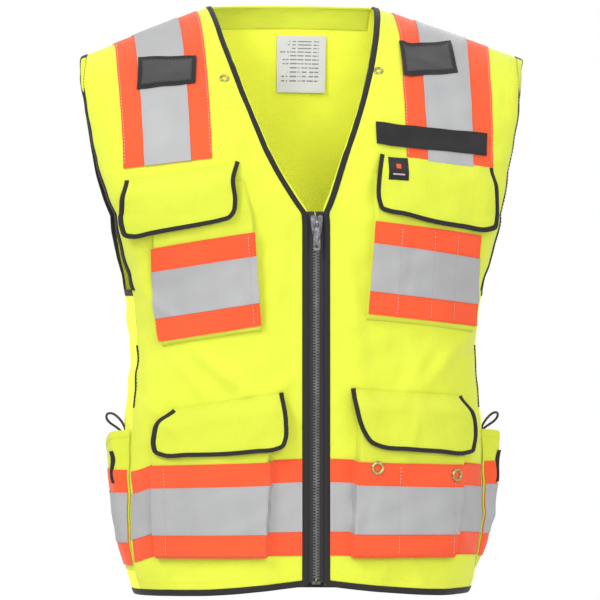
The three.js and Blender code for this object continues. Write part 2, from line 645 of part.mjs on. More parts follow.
// A comb of teeth. The left comb ends in the box that the zip closes into, below the slider.
// The right comb stops a slider's length short at both ends.
function addZipTeeth(side) {
  const left = side === 'left';
  const short = left ? 0 : SLIDER_LENGTH + 4;
  const [bottom, top] = [SLIDER_LOW + short, SLIDER_TOP - short];
  const start = bottom + (left ? 0 : TOOTH_PITCH / 2);
  const outline = [[COMB_EDGE, top], [TOOTH_ROOT, top]];
  for (let low = start + TOOTH_PITCH * Math.floor((top - start) / TOOTH_PITCH - 0.6); low >= start;
    low -= TOOTH_PITCH) {
    const [under, over] = [low + 0.2, low + TOOTH_PITCH / 2];
    outline.push([TOOTH_ROOT, over], [TOOTH_TIP, over], [TOOTH_TIP, under], [TOOTH_ROOT, under]);
  }
  const box = [[TOOTH_ROOT, SLIDER_LOW - 0.4], [TOOTH_TIP, SLIDER_LOW - 0.4], [TOOTH_TIP, BOX_BOTTOM],
    [COMB_EDGE, BOX_BOTTOM]];
  outline.push(...(left ? box : [[TOOTH_ROOT, bottom], [COMB_EDGE, bottom]]));
  const sign = left ? 1 : -1;
  addPiece(`zip_teeth_${side}`, zipSolid(outline.map(([x, z]) => [sign * x, z]), -0.7, 1.7), 'plastic');
}

function solidOf(geometry) {
  const bare = geometry.clone();
  bare.deleteAttribute('normal');
  bare.deleteAttribute('uv');
  const merged = mergeVertices(bare.index ? bare.toNonIndexed() : bare, 1e-4);
  return new wasm.Manifold(new wasm.Mesh({
    numProp: 3,
    vertProperties: new Float32Array(merged.attributes.position.array),
    triVerts: new Uint32Array(merged.index.array),
  }));
}

function joined(geometries) {
  const mesh = geometries.map(solidOf).reduce((whole, next) => whole.add(next)).getMesh();
  const geometry = new THREE.BufferGeometry();
  geometry.setAttribute('position', new THREE.Float32BufferAttribute(mesh.vertProperties, 3));
  geometry.setIndex(Array.from(mesh.triVerts));
  return geometry;
}

const PIVOT_HEIGHT = SLIDER_TOP - 9;
const PIVOT_FORWARD = 6;
const PIN_RADIUS = 0.9;

function barAlongX(radius, length) {
  const bar = new THREE.CylinderGeometry(radius, radius, length, 12).rotateZ(Math.PI / 2);
  return bar.translate(0, -FRONT_DEPTH - PIVOT_FORWARD, PIVOT_HEIGHT);
}

function addSlider() {
  const [low, high] = [SLIDER_TOP - SLIDER_LENGTH, SLIDER_TOP];
  const face = rectangle(-SLIDER_HALF_WIDTH, low, SLIDER_HALF_WIDTH, high);
  const bridge = rectangle(-1, high - 7, 1, high);
  const lug = rectangle(-1.2, PIVOT_HEIGHT - 3, 1.2, PIVOT_HEIGHT + 3);
  addPiece('zip_slider', joined([
    zipSolid(face, 2.1, 3.4), zipSolid(face, -2.4, -1.1), zipSolid(bridge, -1.5, 2.5),
    zipSolid(lug, 3, PIVOT_FORWARD + 1.5), barAlongX(PIN_RADIUS, 7.6)]), 'metal');
}

// The pull hangs from the pin on two ears, one each side of the lug.
function addPull() {
  const hole = PIN_RADIUS + 0.3;
  const ear = new THREE.Shape();
  ear.absarc(0, 0, hole + 1.1, 0, Math.PI * 2, false);
  const bore = new THREE.Path();
  bore.absarc(0, 0, hole, 0, Math.PI * 2, true);
  ear.holes.push(bore);
  const ears = [1.6, -3.6].map((x) => new THREE.ExtrudeGeometry(ear, {
    depth: 2, bevelEnabled: false, curveSegments: 12 }).rotateY(Math.PI / 2)
    .translate(x, -FRONT_DEPTH - PIVOT_FORWARD, PIVOT_HEIGHT));
  const tab = rectangle(-3.6, PIVOT_HEIGHT - 34, 3.6, PIVOT_HEIGHT - 4);
  const arms = [1.6, -3.6].map((x) => zipSolid(
    rectangle(x, PIVOT_HEIGHT - 5, x + 2, PIVOT_HEIGHT - hole - 0.3), PIVOT_FORWARD - 1, PIVOT_FORWARD + 1));
  addPiece('zip_pull', joined([...ears, ...arms,
    zipSolid(tab, PIVOT_FORWARD - 1, PIVOT_FORWARD + 1)]), 'metal');
}

// ---------- elastic side cords ----------
const CORD_RADIUS = 1.3;
// Loop that rises from the mouth of a side pocket and goes back into it.
const CORD_ROUTE = [
  [189, -2, 162], [189.3, -3, 170], [192, -4.5, 178], [197, -5, 185], [203, -3, 189.5],
  [208, 2, 189.5], [209, 8, 185], [205.5, 12, 180], [199, 13.5, 175.5], [192.5, 13.5, 170],
  [189, 13, 162],
];

function addSideCord(side) {
  const sign = side === 'left' ? 1 : -1;
  const points = CORD_ROUTE.map(([x, y, z]) => new THREE.Vector3(sign * x, y, z));
  const route = new THREE.CatmullRomCurve3(points);
  const section = new THREE.Shape();
  section.absarc(0, 0, CORD_RADIUS, 0, Math.PI * 2, false);
  const cord = new THREE.ExtrudeGeometry(section, { extrudePath: route, steps: 22, curveSegments: 4 });
  addPiece(`side_cord_${side}`, cord, 'black');
}

// ---------- assembly ----------
addBackPanel();
addNeckParts();
addBackHemBinding();
addBackWaistBands();
for (const side of ['left', 'right']) {
  addYoke(side);
  addNeckBinding(side);
  addArmholeBinding(side);
  addShoulderTapes(side);
  addPocket('side_pocket', side, SIDE_POCKET, noDroop, 'lime');
  addSideCord(side);
  addFrontPanel(side);
  addFrontBinding(side);
  addFrontArmBinding(side);
  addPocket('chest_pocket', side, CHEST_POCKET, chestDroop, 'lime');
  addPocket('lower_pocket', side, LOWER_POCKET, noDroop, 'lime');
  addChestBands(side);
  addFrontWaistBands(side);
  addFlap('chest_flap', side, CHEST_FLAP);
  addFlapBinding('chest_flap', side, CHEST_FLAP);
  addFlap('lower_flap', side, LOWER_FLAP);
  addFlapBinding('lower_flap', side, LOWER_FLAP);
  addZipTape(side);
  addZipTeeth(side);
}
addShoulderTrim();
addWovenLabel();
addPocketEyelets();
addSlider();
addPull();

vest.position.z = -SHOULDER_HEIGHT;

export default vest;
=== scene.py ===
"""High visibility work vest: cloth, tapes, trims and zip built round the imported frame.

The vest hangs as it does on a wearer. Lengths in the classes are millimetres, heights are
measured up from the hem, and every mesh is written in metres in the frame's own place.
Left and right are the wearer's: left is +X, and the front faces -Y.
"""
import logging
import math
from dataclasses import dataclass
from enum import Enum
from typing import Optional, Sequence, Union

import bpy
import numpy as np
from mathutils import Matrix, Vector


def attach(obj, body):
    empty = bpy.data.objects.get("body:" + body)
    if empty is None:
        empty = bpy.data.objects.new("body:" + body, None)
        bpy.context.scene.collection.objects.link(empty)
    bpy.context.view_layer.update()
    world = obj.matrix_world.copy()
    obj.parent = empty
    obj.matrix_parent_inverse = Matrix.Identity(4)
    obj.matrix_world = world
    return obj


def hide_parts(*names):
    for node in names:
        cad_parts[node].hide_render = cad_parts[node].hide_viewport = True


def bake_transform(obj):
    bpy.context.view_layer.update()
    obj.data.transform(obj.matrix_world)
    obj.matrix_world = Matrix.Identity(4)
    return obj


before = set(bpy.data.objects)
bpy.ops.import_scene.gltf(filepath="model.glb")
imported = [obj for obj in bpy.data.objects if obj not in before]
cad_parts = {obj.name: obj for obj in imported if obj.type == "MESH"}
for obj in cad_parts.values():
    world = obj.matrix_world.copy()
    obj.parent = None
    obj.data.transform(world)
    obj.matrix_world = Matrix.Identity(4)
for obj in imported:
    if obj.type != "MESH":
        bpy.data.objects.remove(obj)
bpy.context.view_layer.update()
log = logging.getLogger("vest")

MM = 0.001
SHOULDER_HEIGHT = 622.0
Array = np.ndarray
Offset = Union[float, Array]
Colour = tuple[float, float, float]
Corners = tuple[tuple[float, float], ...]
Row = tuple[Array, Array]
Socket = bpy.types.NodeSocket
Piece = bpy.types.Object


class Side(Enum):
    """The wearer's side that a piece belongs to."""

    LEFT = "left"
    RIGHT = "right"

    @property
    def sign(self) -> float:
        """Direction of the side along X."""
        return 1.0 if self is Side.LEFT else -1.0

    def turn(self, angle: Array) -> Array:
        """Angle of a left-hand place moved to this side."""
        return np.asarray(angle, float) if self is Side.LEFT else 360.0 - np.asarray(angle, float)


def smooth(value: Array) -> Array:
    """Eased step of a value held between 0 and 1."""
    held = np.clip(value, 0, 1)
    return held * held * (3 - 2 * held)


def folded(angle: Array) -> Array:
    """Angle on the left-hand form that matches an angle on either side."""
    return np.where(angle <= 180, angle, 360 - angle)


def run_along(points: Array) -> Array:
    """Distance along a line of points from its first one."""
    return np.concatenate([[0], np.cumsum(np.linalg.norm(np.diff(points, axis=0), axis=1))])


def unit(vectors: Array) -> Array:
    """Vectors brought to a length of one along the last axis."""
    return vectors / np.maximum(np.linalg.norm(vectors, axis=-1, keepdims=True), 1e-9)


def between(corners: Corners, u: Array, v: Array) -> Array:
    """Places at shares along (u) and down (v) a patch with four corners."""
    a, b, c, d = (np.array(corner, float) for corner in corners)
    return (a * (1 - u) + b * u) * (1 - v) + (d * (1 - u) + c * u) * v


def linked(name: str, data: bpy.types.ID) -> Piece:
    """Makes an object from its data and links it into the scene."""
    piece = bpy.data.objects.new(name, data)
    bpy.context.scene.collection.objects.link(piece)
    return piece


# ---------------------------------------------------------------- the hanging form
@dataclass(frozen=True)
class Fold:
    """One soft ridge in the hanging cloth.

    x and height place its middle, length and width size it, lean tilts it from upright in
    degrees, and depth is how far it stands out.
    """

    x: float
    height: float
    length: float
    width: float
    lean: float
    depth: float

    def lift(self, x: Array, height: Array) -> Array:
        """How far the ridge lifts the cloth.

        Args:
            x: Places across the vest.
            height: Heights above the hem.

        Returns:
            Lift in millimetres, the same shape as x.
        """
        lean = math.radians(self.lean)
        dx, dz = x - self.x, height - self.height
        along = dz * math.cos(lean) + dx * math.sin(lean)
        across = dx * math.cos(lean) - dz * math.sin(lean)
        return self.depth * np.exp(-((along / self.length) ** 2) - (across / self.width) ** 2)


FRONT_FOLDS = (
    Fold(-92, 512, 34, 9, -52, 3.2), Fold(-84, 470, 60, 12, 8, 2.0),
    Fold(98, 575, 34, 7, 10, 2.6), Fold(62, 455, 46, 9, 20, 1.8),
    Fold(-98, 236, 46, 9, -52, 3.4), Fold(-130, 232, 30, 8, -35, 2.2),
    Fold(140, 248, 36, 9, 42, 3.2), Fold(108, 236, 30, 8, 30, 1.8),
    Fold(-40, 330, 70, 10, 6, 1.8), Fold(36, 318, 80, 11, -7, 2.0),
    Fold(-52, 24, 40, 14, 0, 2.2), Fold(60, 20, 40, 16, 4, 2.0),
    Fold(-172, 330, 60, 9, -14, 2.6), Fold(176, 322, 60, 9, 12, 2.4),
    Fold(-30, 224, 30, 8, 48, 2.0), Fold(34, 226, 30, 8, -48, 1.8),
)
BACK_FOLDS = (
    Fold(-60, 430, 90, 16, 10, 3.5), Fold(55, 420, 90, 15, -12, 3.5),
    Fold(0, 260, 90, 20, 3, 3.0), Fold(-120, 330, 70, 13, 22, 3.5),
    Fold(124, 325, 70, 13, -20, 3.5), Fold(-30, 190, 70, 13, 14, 2.4),
    Fold(70, 200, 80, 14, -8, 2.6), Fold(-10, 560, 40, 26, 0, 2.0),
)


def scattered_creases(seed: int, count: int, width: float) -> tuple[Fold, ...]:
    """Small creases at seeded places, the same on every run.

    Args:
        seed: Start of the random draws.
        count: How many creases.
        width: Half the width of the cloth that they are spread over.

    Returns:
        The creases.
    """
    draw = np.random.default_rng(seed)
    found = []
    for _ in range(count):
        x, height = draw.uniform(-width, width), draw.uniform(-10, 600)
        length, wide = draw.uniform(16, 46), draw.uniform(4.6, 8.5)
        found.append(Fold(x, height, length, wide, draw.uniform(-70, 70), draw.uniform(-0.9, 1.2)))
    return tuple(found)


FRONT_CREASES = scattered_creases(11, 110, 195.0)
BACK_CREASES = scattered_creases(23, 90, 215.0)


@dataclass(frozen=True)
class Form:
    """The surface that all the cloth follows, with its soft folds.

    An angle of 0 is the front centre, 90 the left side and 180 the back centre. Up to the
    chest a level is a height above the hem, and above it runs on over the shoulder.
    """

    half_width: float = 191.0
    front_depth: float = 115.0
    back_depth: float = 100.0
    roundness: float = 2.2
    armpit: float = 320.0
    chest: float = 400.0
    chest_half_width: float = 202.0
    arm_front_y: float = -45.0
    arm_back_y: float = 60.0
    shoulder_half_width: float = 235.0
    neck_half_width: float = 87.0
    shoulder_drop: float = 57.0
    shoulder_inner_y: float = 55.0
    shoulder_tip_y: float = 10.0
    neck_rise: float = 3.0
    neck_set_back: float = 30.0
    curve: float = 1.8
    spread: float = 2.6
    arc_span: float = 240.0
    zip_edge: float = 8.6
    hem_rise: float = 14.0
    waist_nip: float = 9.0
    waist_level: float = 252.0
    seam: float = 76.0
    hem_nip: float = 13.0
    hem_reach: float = 34.0
    lean: float = 8.5
    arm_scoop: float = 15.0

    @property
    def crest(self) -> float:
        """Level of the shoulder line."""
        return self.chest + self.arc_span

    def share(self, angle: Array) -> Array:
        """Share of the half width reached at an angle from the front or back centre."""
        return np.abs(np.sin(np.radians(angle))) ** (2 / self.roundness)

    def angle_of(self, share: Array) -> Array:
        """Angle at which a share of the half width is reached."""
        held = np.clip(share, 0, 1) ** (self.roundness / 2)
        return np.degrees(np.arcsin(held))

    def climb(self, level: Array) -> Array:
        """Share of the way from the armpit up to the chest."""
        return np.clip((level - self.armpit) / (self.chest - self.armpit), 0, 1)

    def eased(self, level: Array, low: float, high: Array) -> Array:
        """Smooth change from a value at the armpit to one at the chest."""
        rise = self.climb(level)
        return low + (high - low) * rise * rise * (3 - 2 * rise)

    def width_at(self, level: Array) -> Array:
        """Half width at a level up to the chest, with the nipped waist."""
        nip = self.waist_nip * np.exp(-(((level - self.waist_level) / 62.0) ** 2))
        nip = nip + self.hem_nip * np.exp(-np.maximum(level, 0) / self.hem_reach)
        return self.eased(level, self.half_width, self.chest_half_width) - nip

    def sway(self, share: Array, level: Array) -> Array:
        """How far the shoulders hang over to the wearer's right."""
        rise = smooth((level - 385) / 70)
        tip = share * share * smooth((level - 540) / 100)
        return -self.lean * rise * (1 - 0.45 * share * share) * (1 - tip)

    def at(self, x: Array, height: Array) -> tuple[Array, Array]:
        """Front place that has a given distance across and height.

        Args:
            x: Distances across, positive to the wearer's left.
            height: Heights above the hem.

        Returns:
            Angles and levels.
        """
        x, height = np.broadcast_arrays(np.asarray(x, float), np.asarray(height, float))
        level, share = height.copy(), np.abs(x) / self.shoulder_half_width
        for _ in range(16):
            arc = np.clip((level - self.chest) / self.arc_span, 0, 1)
            wide = 1 - (1 - arc) ** self.spread
            reach = self.width_at(np.minimum(level, self.chest)) * (1 - wide)
            reach = reach + self.shoulder_half_width * wide
            share = np.clip(np.abs(x - self.sway(share, level)) / reach, 0, 0.9999)
            out = (share * self.shoulder_half_width - self.neck_half_width) / (
                self.shoulder_half_width - self.neck_half_width)
            top = SHOULDER_HEIGHT - self.shoulder_drop * np.clip(out, 0, 1)
            turn = np.clip((height - self.chest) / (top - self.chest), 0, 1) ** (self.curve / 2)
            raised = self.chest + self.arc_span * np.degrees(np.arcsin(turn)) / 90
            level = np.where(height > self.chest, raised, height)
        angle = self.angle_of(share)
        return np.where(x - self.sway(share, level) >= 0, angle, 360 - angle), level

    def girth(self, angle: Array) -> Array:
        """Distance round the body from the front centre, in millimetres."""
        return np.interp(folded(np.asarray(angle)), GIRTH_ANGLES, GIRTH_RUN)

    def bare(self, angle: Array, level: Array) -> Array:
        """Points of the smooth form.

        Args:
            angle: Angles round the body in degrees, 0 to 360.
            level: Levels, the same shape as angle.

        Returns:
            Points in millimetres with heights above the hem, one more axis than angle.
        """
        angle, level = np.broadcast_arrays(np.asarray(angle, float), np.asarray(level, float))
        side = np.where(angle <= 180, 1.0, -1.0)
        fold = folded(angle)
        front = fold < 90
        share = self.share(fold)
        inward = np.abs(np.cos(np.radians(fold))) ** (2 / self.roundness)
        edge_y = self.eased(level, 0.0, np.where(front, self.arm_front_y, self.arm_back_y))
        centre_y = np.where(front, -self.front_depth, self.back_depth)
        x = self.width_at(np.minimum(level, self.chest)) * share
        y = edge_y + (centre_y - edge_y) * inward
        top_x = self.shoulder_half_width * share
        out = (top_x - self.neck_half_width) / (self.shoulder_half_width - self.neck_half_width)
        set_in = np.clip(1 - (top_x / self.neck_half_width) ** 2, 0, 1)
        on_neck = top_x < self.neck_half_width
        out = np.where(on_neck, 0, out)
        top_y = self.shoulder_inner_y + (self.shoulder_tip_y - self.shoulder_inner_y) * out
        top_y = top_y + np.where(on_neck, self.neck_set_back * set_in, 0)
        top_z = SHOULDER_HEIGHT - self.shoulder_drop * out + np.where(on_neck, self.neck_rise * set_in, 0)
        arc = np.clip((level - self.chest) / self.arc_span, 0, 1)
        turn = np.radians(90 * arc)
        power = 2 / self.curve
        x = x + (top_x - x) * (1 - (1 - arc) ** self.spread)
        y = y + (top_y - y) * (1 - np.abs(np.cos(turn)) ** power)
        z = np.where(level > self.chest, self.chest + (top_z - self.chest) * np.sin(turn) ** power, level)
        return np.stack([side * x + self.sway(share, level), y, z], axis=-1)

    def normal(self, angle: Array, level: Array) -> Array:
        """Outward directions of the smooth form.

        Args:
            angle: Angles round the body in degrees.
            level: Levels, the same shape as angle.

        Returns:
            Unit vectors, one more axis than angle.
        """
        angle, level = np.broadcast_arrays(np.asarray(angle, float), np.asarray(level, float))
        step = 1.0
        low, high = angle - step, angle + step
        for edge in (90.0, 270.0):
            before = (angle < edge) & (angle + step > edge)
            after = (angle > edge) & (angle - step < edge)
            high = np.where(before, angle, high)
            low = np.where(after, angle, low)
        low, high = np.maximum(low, 0), np.minimum(high, 360)
        around = self.bare(high, level) - self.bare(low, level)
        up = self.bare(angle, np.minimum(level + 4, self.crest)) - self.bare(angle, level - 4)
        return unit(np.cross(around, up))

    def drape(self, angle: Array, level: Array) -> Array:
        """How far the folds and slack lift the cloth from the smooth form, in millimetres."""
        place = self.bare(angle, level)
        x, height = place[..., 0], place[..., 2]
        fold = folded(angle)
        front = fold < 90
        ridges = np.where(
            front,
            sum(one.lift(x, height) for one in FRONT_FOLDS + FRONT_CREASES),
            sum(one.lift(x, height) for one in BACK_FOLDS + BACK_CREASES),
        )
        slack = 0.9 * np.sin(x / 23 + height / 61) * np.sin(height / 47 - x / 88 + 1.3)
        fine = 0.35 * np.sin(x / 7.1 - height / 12.7) * np.sin(height / 9.3 + x / 17.0)
        hem = 3.0 * np.sin(x / 17.0 + 0.8) * np.exp(-np.maximum(height, 0) / 30.0)
        quiet = np.clip((fold - 90) / 12, 0, 1) * np.clip((height - 300) / 20, 0, 1)
        calm = 1 - 0.6 * np.where(front, 0, quiet)
        near_zip = np.clip((np.abs(x) - 12) / 26, 0, 1)
        held = np.where(front, near_zip, 1.0)
        top = np.clip((self.crest - level) / 60, 0.15, 1)
        return (1.6 * ridges + 1.4 * slack + 2.0 * fine + hem) * calm * held * top

    def place(self, angle: Array, level: Array, offset: Offset) -> Array:
        """Points a set distance out from the hanging cloth.

        Args:
            angle: Angles round the body in degrees.
            level: Levels, the same shape as angle.
            offset: Distance out from the cloth's inner face, in millimetres.

        Returns:
            Points in metres in the frame's place.
        """
        lift = self.drape(angle, level) + np.asarray(offset, float)
        found = self.bare(angle, level) + self.normal(angle, level) * lift[..., None]
        found[..., 2] -= SHOULDER_HEIGHT
        return found * MM

    def inset(self, edge: Array, level: Array, distance: Offset, direction: float) -> Array:
        """Angles that lie a distance along the cloth from edge angles.

        Args:
            edge: Edge angles, one for each level.
            level: Levels.
            distance: Distance to go, in millimetres.
            direction: 1 for growing angles and -1 for shrinking ones.

        Returns:
            The angles found.
        """
        steps = np.linspace(0, 16, 65)
        distance = np.broadcast_to(np.asarray(distance, float), np.shape(edge))
        found = []
        for one, height, far in zip(np.ravel(edge), np.ravel(level), np.ravel(distance)):
            line = self.bare(one + direction * steps, np.full_like(steps, height))
            run = run_along(line)
            found.append(one + direction * np.interp(far, run, steps))
        return np.array(found).reshape(np.shape(edge))

    def neck_edge(self, level: Array) -> Array:
        """Angle of the zip edge and, above the chest, of the V neck edge."""
        level = np.asarray(level, float)
        zip_share = self.zip_edge / self.width_at(np.minimum(level, self.chest))
        arc = np.clip((level - self.chest) / self.arc_span, 0, 1)
        top = self.neck_half_width / self.shoulder_half_width
        return self.angle_of(zip_share + (top - zip_share) * (1 - (1 - arc) ** 2.35))

    def arm_edge(self, level: Array) -> Array:
        """Angle of the side seam and, above the armpit, of the front armhole edge."""
        return self.seam + (89.9 - self.seam) * self.climb(np.asarray(level, float))

    def back_edge(self, level: Array) -> Array:
        """Angle of the back cloth's edge: the side seam, then the back of the armhole."""
        level = np.asarray(level, float)
        rise = np.clip((level - self.armpit) / (self.crest - self.armpit), 0, 1)
        scoop = self.arm_scoop * np.abs(np.sin(np.pi * rise)) ** 0.7
        return np.where(level > self.armpit - 0.2, 90.1 + scoop, self.seam)

    def hem(self, angle: Array) -> Array:
        """Height of the hem, which lifts towards the zip."""
        fold = folded(np.asarray(angle))
        return np.where(fold < 90, self.hem_rise * (1 - self.share(fold)) ** 2, 0.0)


FORM = Form()
GIRTH_LEVEL = 300.0
GIRTH_ANGLES = np.linspace(0, 180, 1441)
GIRTH_LINE = FORM.bare(GIRTH_ANGLES, np.full(len(GIRTH_ANGLES), GIRTH_LEVEL))
GIRTH_RUN = run_along(GIRTH_LINE)
CLOTH = 0.9
EDGING = 6.0


# ---------------------------------------------------------------- finishes
class Bench:
    """Builds one node material step by step."""

    def __init__(self, name: str, rough: float, colour: Colour) -> None:
        """Starts a material with a single shader.

        Args:
            name: The material's name.
            rough: Its roughness.
            colour: Its base colour.
        """
        self.material = bpy.data.materials.new(name)
        self.material.use_nodes = True
        self.nodes = self.material.node_tree.nodes
        self.links = self.material.node_tree.links
        self.shader = self.nodes["Principled BSDF"]
        self.shader.inputs["Roughness"].default_value = rough
        self.shader.inputs["Base Color"].default_value = (*colour, 1)
        self.material.diffuse_color = (*colour, 1)

    def fixed(self, **values: float) -> None:
        """Sets constant values on the shader's own sockets, by name with _ for spaces."""
        for key, value in values.items():
            self.shader.inputs[key.replace("_", " ").title().replace("Ior", "IOR")].default_value = value

    def cloth_place(self) -> Socket:
        """The place on the cloth in metres along and across it."""
        node = self.nodes.new("ShaderNodeUVMap")
        node.uv_map = "cloth"
        return node.outputs[0]

    def object_place(self) -> Socket:
        """The place in the object in metres."""
        return self.nodes.new("ShaderNodeTexCoord").outputs["Object"]

    def scaled(self, place: Socket, x: float, y: float, turn: float = 0.0) -> Socket:
        """A place scaled, and turned about Z by degrees."""
        node = self.nodes.new("ShaderNodeMapping")
        node.inputs["Scale"].default_value = (x, y, 1.0)
        node.inputs["Rotation"].default_value = (0, 0, math.radians(turn))
        self.links.new(place, node.inputs["Vector"])
        return node.outputs[0]

    def math(self, kind: str, first: object, second: object = 0.0, third: object = 0.0) -> Socket:
        """A Math node.

        Args:
            kind: The operation.
            first: First input, a socket or a number.
            second: Second input.
            third: Third input.

        Returns:
            The output socket.
        """
        node = self.nodes.new("ShaderNodeMath")
        node.operation = kind
        for socket, value in zip(node.inputs, (first, second, third)):
            if isinstance(value, Socket):
                self.links.new(value, socket)
            else:
                socket.default_value = value
        return node.outputs[0]

    def split(self, place: Socket) -> tuple[Socket, ...]:
        """The parts of a place."""
        node = self.nodes.new("ShaderNodeSeparateXYZ")
        self.links.new(place, node.inputs[0])
        return tuple(node.outputs)

    def noise(self, place: Socket, scale: float, detail: float = 2.0) -> Socket:
        """Soft noise between 0 and 1."""
        node = self.nodes.new("ShaderNodeTexNoise")
        node.inputs["Scale"].default_value = scale
        node.inputs["Detail"].default_value = detail
        self.links.new(place, node.inputs["Vector"])
        return node.outputs["Fac"]

    def ramp(self, value: Socket, *stops: tuple[float, Colour]) -> Socket:
        """A colour ramp over a value."""
        node = self.nodes.new("ShaderNodeValToRGB")
        while len(node.color_ramp.elements) < len(stops):
            node.color_ramp.elements.new(0.5)
        for element, (at, colour) in zip(node.color_ramp.elements, stops):
            element.position = at
            element.color = (*colour, 1)
        self.links.new(value, node.inputs[0])
        return node.outputs[0]

    def blend(self, share: Socket, first: object, second: object) -> Socket:
        """Mixes two colours by a share."""
        node = self.nodes.new("ShaderNodeMix")
        node.data_type = "RGBA"
        self.links.new(share, node.inputs[0])
        for socket, value in ((node.inputs[6], first), (node.inputs[7], second)):
            if isinstance(value, Socket):
                self.links.new(value, socket)
            else:
                socket.default_value = (*value, 1)
        return node.outputs[2]

    def waves(self, part: Socket, pitch: float) -> Socket:
        """A sine of a place in metres with a pitch in millimetres."""
        return self.math("SINE", self.math("MULTIPLY", part, 2 * math.pi / (pitch * MM)))

    def level(self, value: Socket, low: float, high: float, to_low: float,
              to_high: float) -> Socket:
        """A value moved from one range to another."""
        node = self.nodes.new("ShaderNodeMapRange")
        for socket, number in zip(node.inputs[1:5], (low, high, to_low, to_high)):
            socket.default_value = number
        self.links.new(value, node.inputs[0])
        return node.outputs[0]

    def colour(self, socket: Socket) -> None:
        """Joins a colour to the shader."""
        self.links.new(socket, self.shader.inputs["Base Color"])

    def roughness(self, socket: Socket) -> None:
        """Joins a roughness to the shader."""
        self.links.new(socket, self.shader.inputs["Roughness"])

    def relief(self, height: Socket, depth: float) -> None:
        """Joins a height to the shader as bump, with a depth in millimetres."""
        node = self.nodes.new("ShaderNodeBump")
        node.inputs["Distance"].default_value = depth * MM
        node.inputs["Strength"].default_value = 1.0
        self.links.new(height, node.inputs["Height"])
        self.links.new(node.outputs[0], self.shader.inputs["Normal"])


@dataclass(frozen=True)
class WovenFinish:
    """Plain woven or knitted cloth with dyed threads, soft soiling and a faint sheen."""

    name: str
    colour: Colour
    deep: Colour
    pitch: float = 0.9
    rough: float = 0.82
    depth: float = 0.10
    turn: float = 0.0

    def make(self) -> bpy.types.Material:
        """Builds the material."""
        bench = Bench(self.name, self.rough, self.colour)
        bench.fixed(sheen_weight=0.12, sheen_roughness=0.5, specular_ior_level=0.25)
        place = bench.cloth_place()
        x, y, _ = bench.split(bench.scaled(place, 1, 1, self.turn))
        warp, weft = bench.waves(x, self.pitch), bench.waves(y, self.pitch)
        weave = bench.level(bench.math("MULTIPLY", warp, weft), -1, 1, 0, 1)
        slub = bench.noise(bench.scaled(place, 1, 0.12), 900, 2)
        drift = bench.noise(place, 14, 3)
        threads = bench.math("MULTIPLY_ADD", slub, 0.35, bench.math("MULTIPLY", weave, 0.65))
        tone = bench.math("MULTIPLY_ADD", drift, 0.45, bench.math("MULTIPLY", threads, 0.6))
        bench.colour(bench.ramp(tone, (0.2, self.deep), (0.75, self.colour)))
        bench.roughness(bench.level(slub, 0.2, 0.8, self.rough - 0.06, min(1.0, self.rough + 0.08)))
        rumple = bench.noise(bench.scaled(place, 1, 0.55, 24), 24, 3)
        weave = bench.math("MULTIPLY", threads, self.depth)
        bench.relief(bench.math("MULTIPLY_ADD", rumple, 3.8, weave), 1.0)
        return bench.material


@dataclass(frozen=True)
class AiryMeshFinish:
    """Open knitted mesh: rows of small diamond holes between bright threads."""

    name: str
    colour: Colour
    hole: Colour
    pitch: float = 3.4

    def make(self) -> bpy.types.Material:
        """Builds the material."""
        bench = Bench(self.name, 0.88, self.colour)
        bench.fixed(sheen_weight=0.1, specular_ior_level=0.2)
        place = bench.cloth_place()
        x, y, _ = bench.split(place)
        first = bench.waves(bench.math("ADD", x, y), self.pitch)
        second = bench.waves(bench.math("SUBTRACT", x, y), self.pitch)
        product = bench.math("MULTIPLY", first, second)
        holes = bench.level(product, 0.25, 0.7, 0, 1)
        yarn = bench.noise(bench.scaled(place, 1, 0.4), 1300, 1)
        drift = bench.noise(place, 12, 3)
        tone = bench.ramp(drift, (0.3, tuple(0.88 * part for part in self.colour)), (0.7, self.colour))
        bench.colour(bench.blend(holes, tone, self.hole))
        height = bench.math("MULTIPLY_ADD", yarn, 0.2, bench.math("SUBTRACT", 1.0, holes))
        bench.relief(height, 0.35)
        return bench.material


@dataclass(frozen=True)
class ReflectiveFinish:
    """Silver glass-bead tape: a fine lattice, soft creases, and soft mottling that lightens the colour as a
    painted highlight and dulls the gloss.
    """

    name: str
    colour: Colour = (0.308, 0.309, 0.312)
    pitch: float = 1.3

    def make(self) -> bpy.types.Material:
        """Builds the material."""
        bench = Bench(self.name, 0.55, self.colour)
        bench.fixed(metallic=0.1, specular_ior_level=0.4)
        place = bench.cloth_place()
        x, y, _ = bench.split(place)
        first = bench.waves(bench.math("ADD", x, y), self.pitch)
        second = bench.waves(bench.math("SUBTRACT", x, y), self.pitch)
        lattice = bench.level(bench.math("MAXIMUM", first, second), 0.55, 1, 0, 1)
        # cloud: soft mottling whose lighter patches are a painted highlight, like light caught on soft
        # creases; it also varies the roughness
        cloud = bench.noise(place, 26, 4)
        crease = bench.level(bench.noise(bench.scaled(place, 0.35, 1, 8), 150, 3), 0.62, 0.75, 0, 1)
        base = bench.ramp(cloud, (0.25, tuple(0.95 * part for part in self.colour)),
                          (0.8, tuple(1.06 * part for part in self.colour)))
        seen = bench.math("MULTIPLY_ADD", crease, 0.30, bench.math("MULTIPLY", lattice, 0.14))
        bench.colour(bench.blend(seen, base, (0.25, 0.26, 0.28)))
        bench.roughness(bench.level(cloud, 0.2, 0.8, 0.5, 0.62))
        bench.relief(bench.math("MULTIPLY_ADD", crease, -0.5, bench.math("MULTIPLY", lattice, -0.3)), 0.08)
        return bench.material


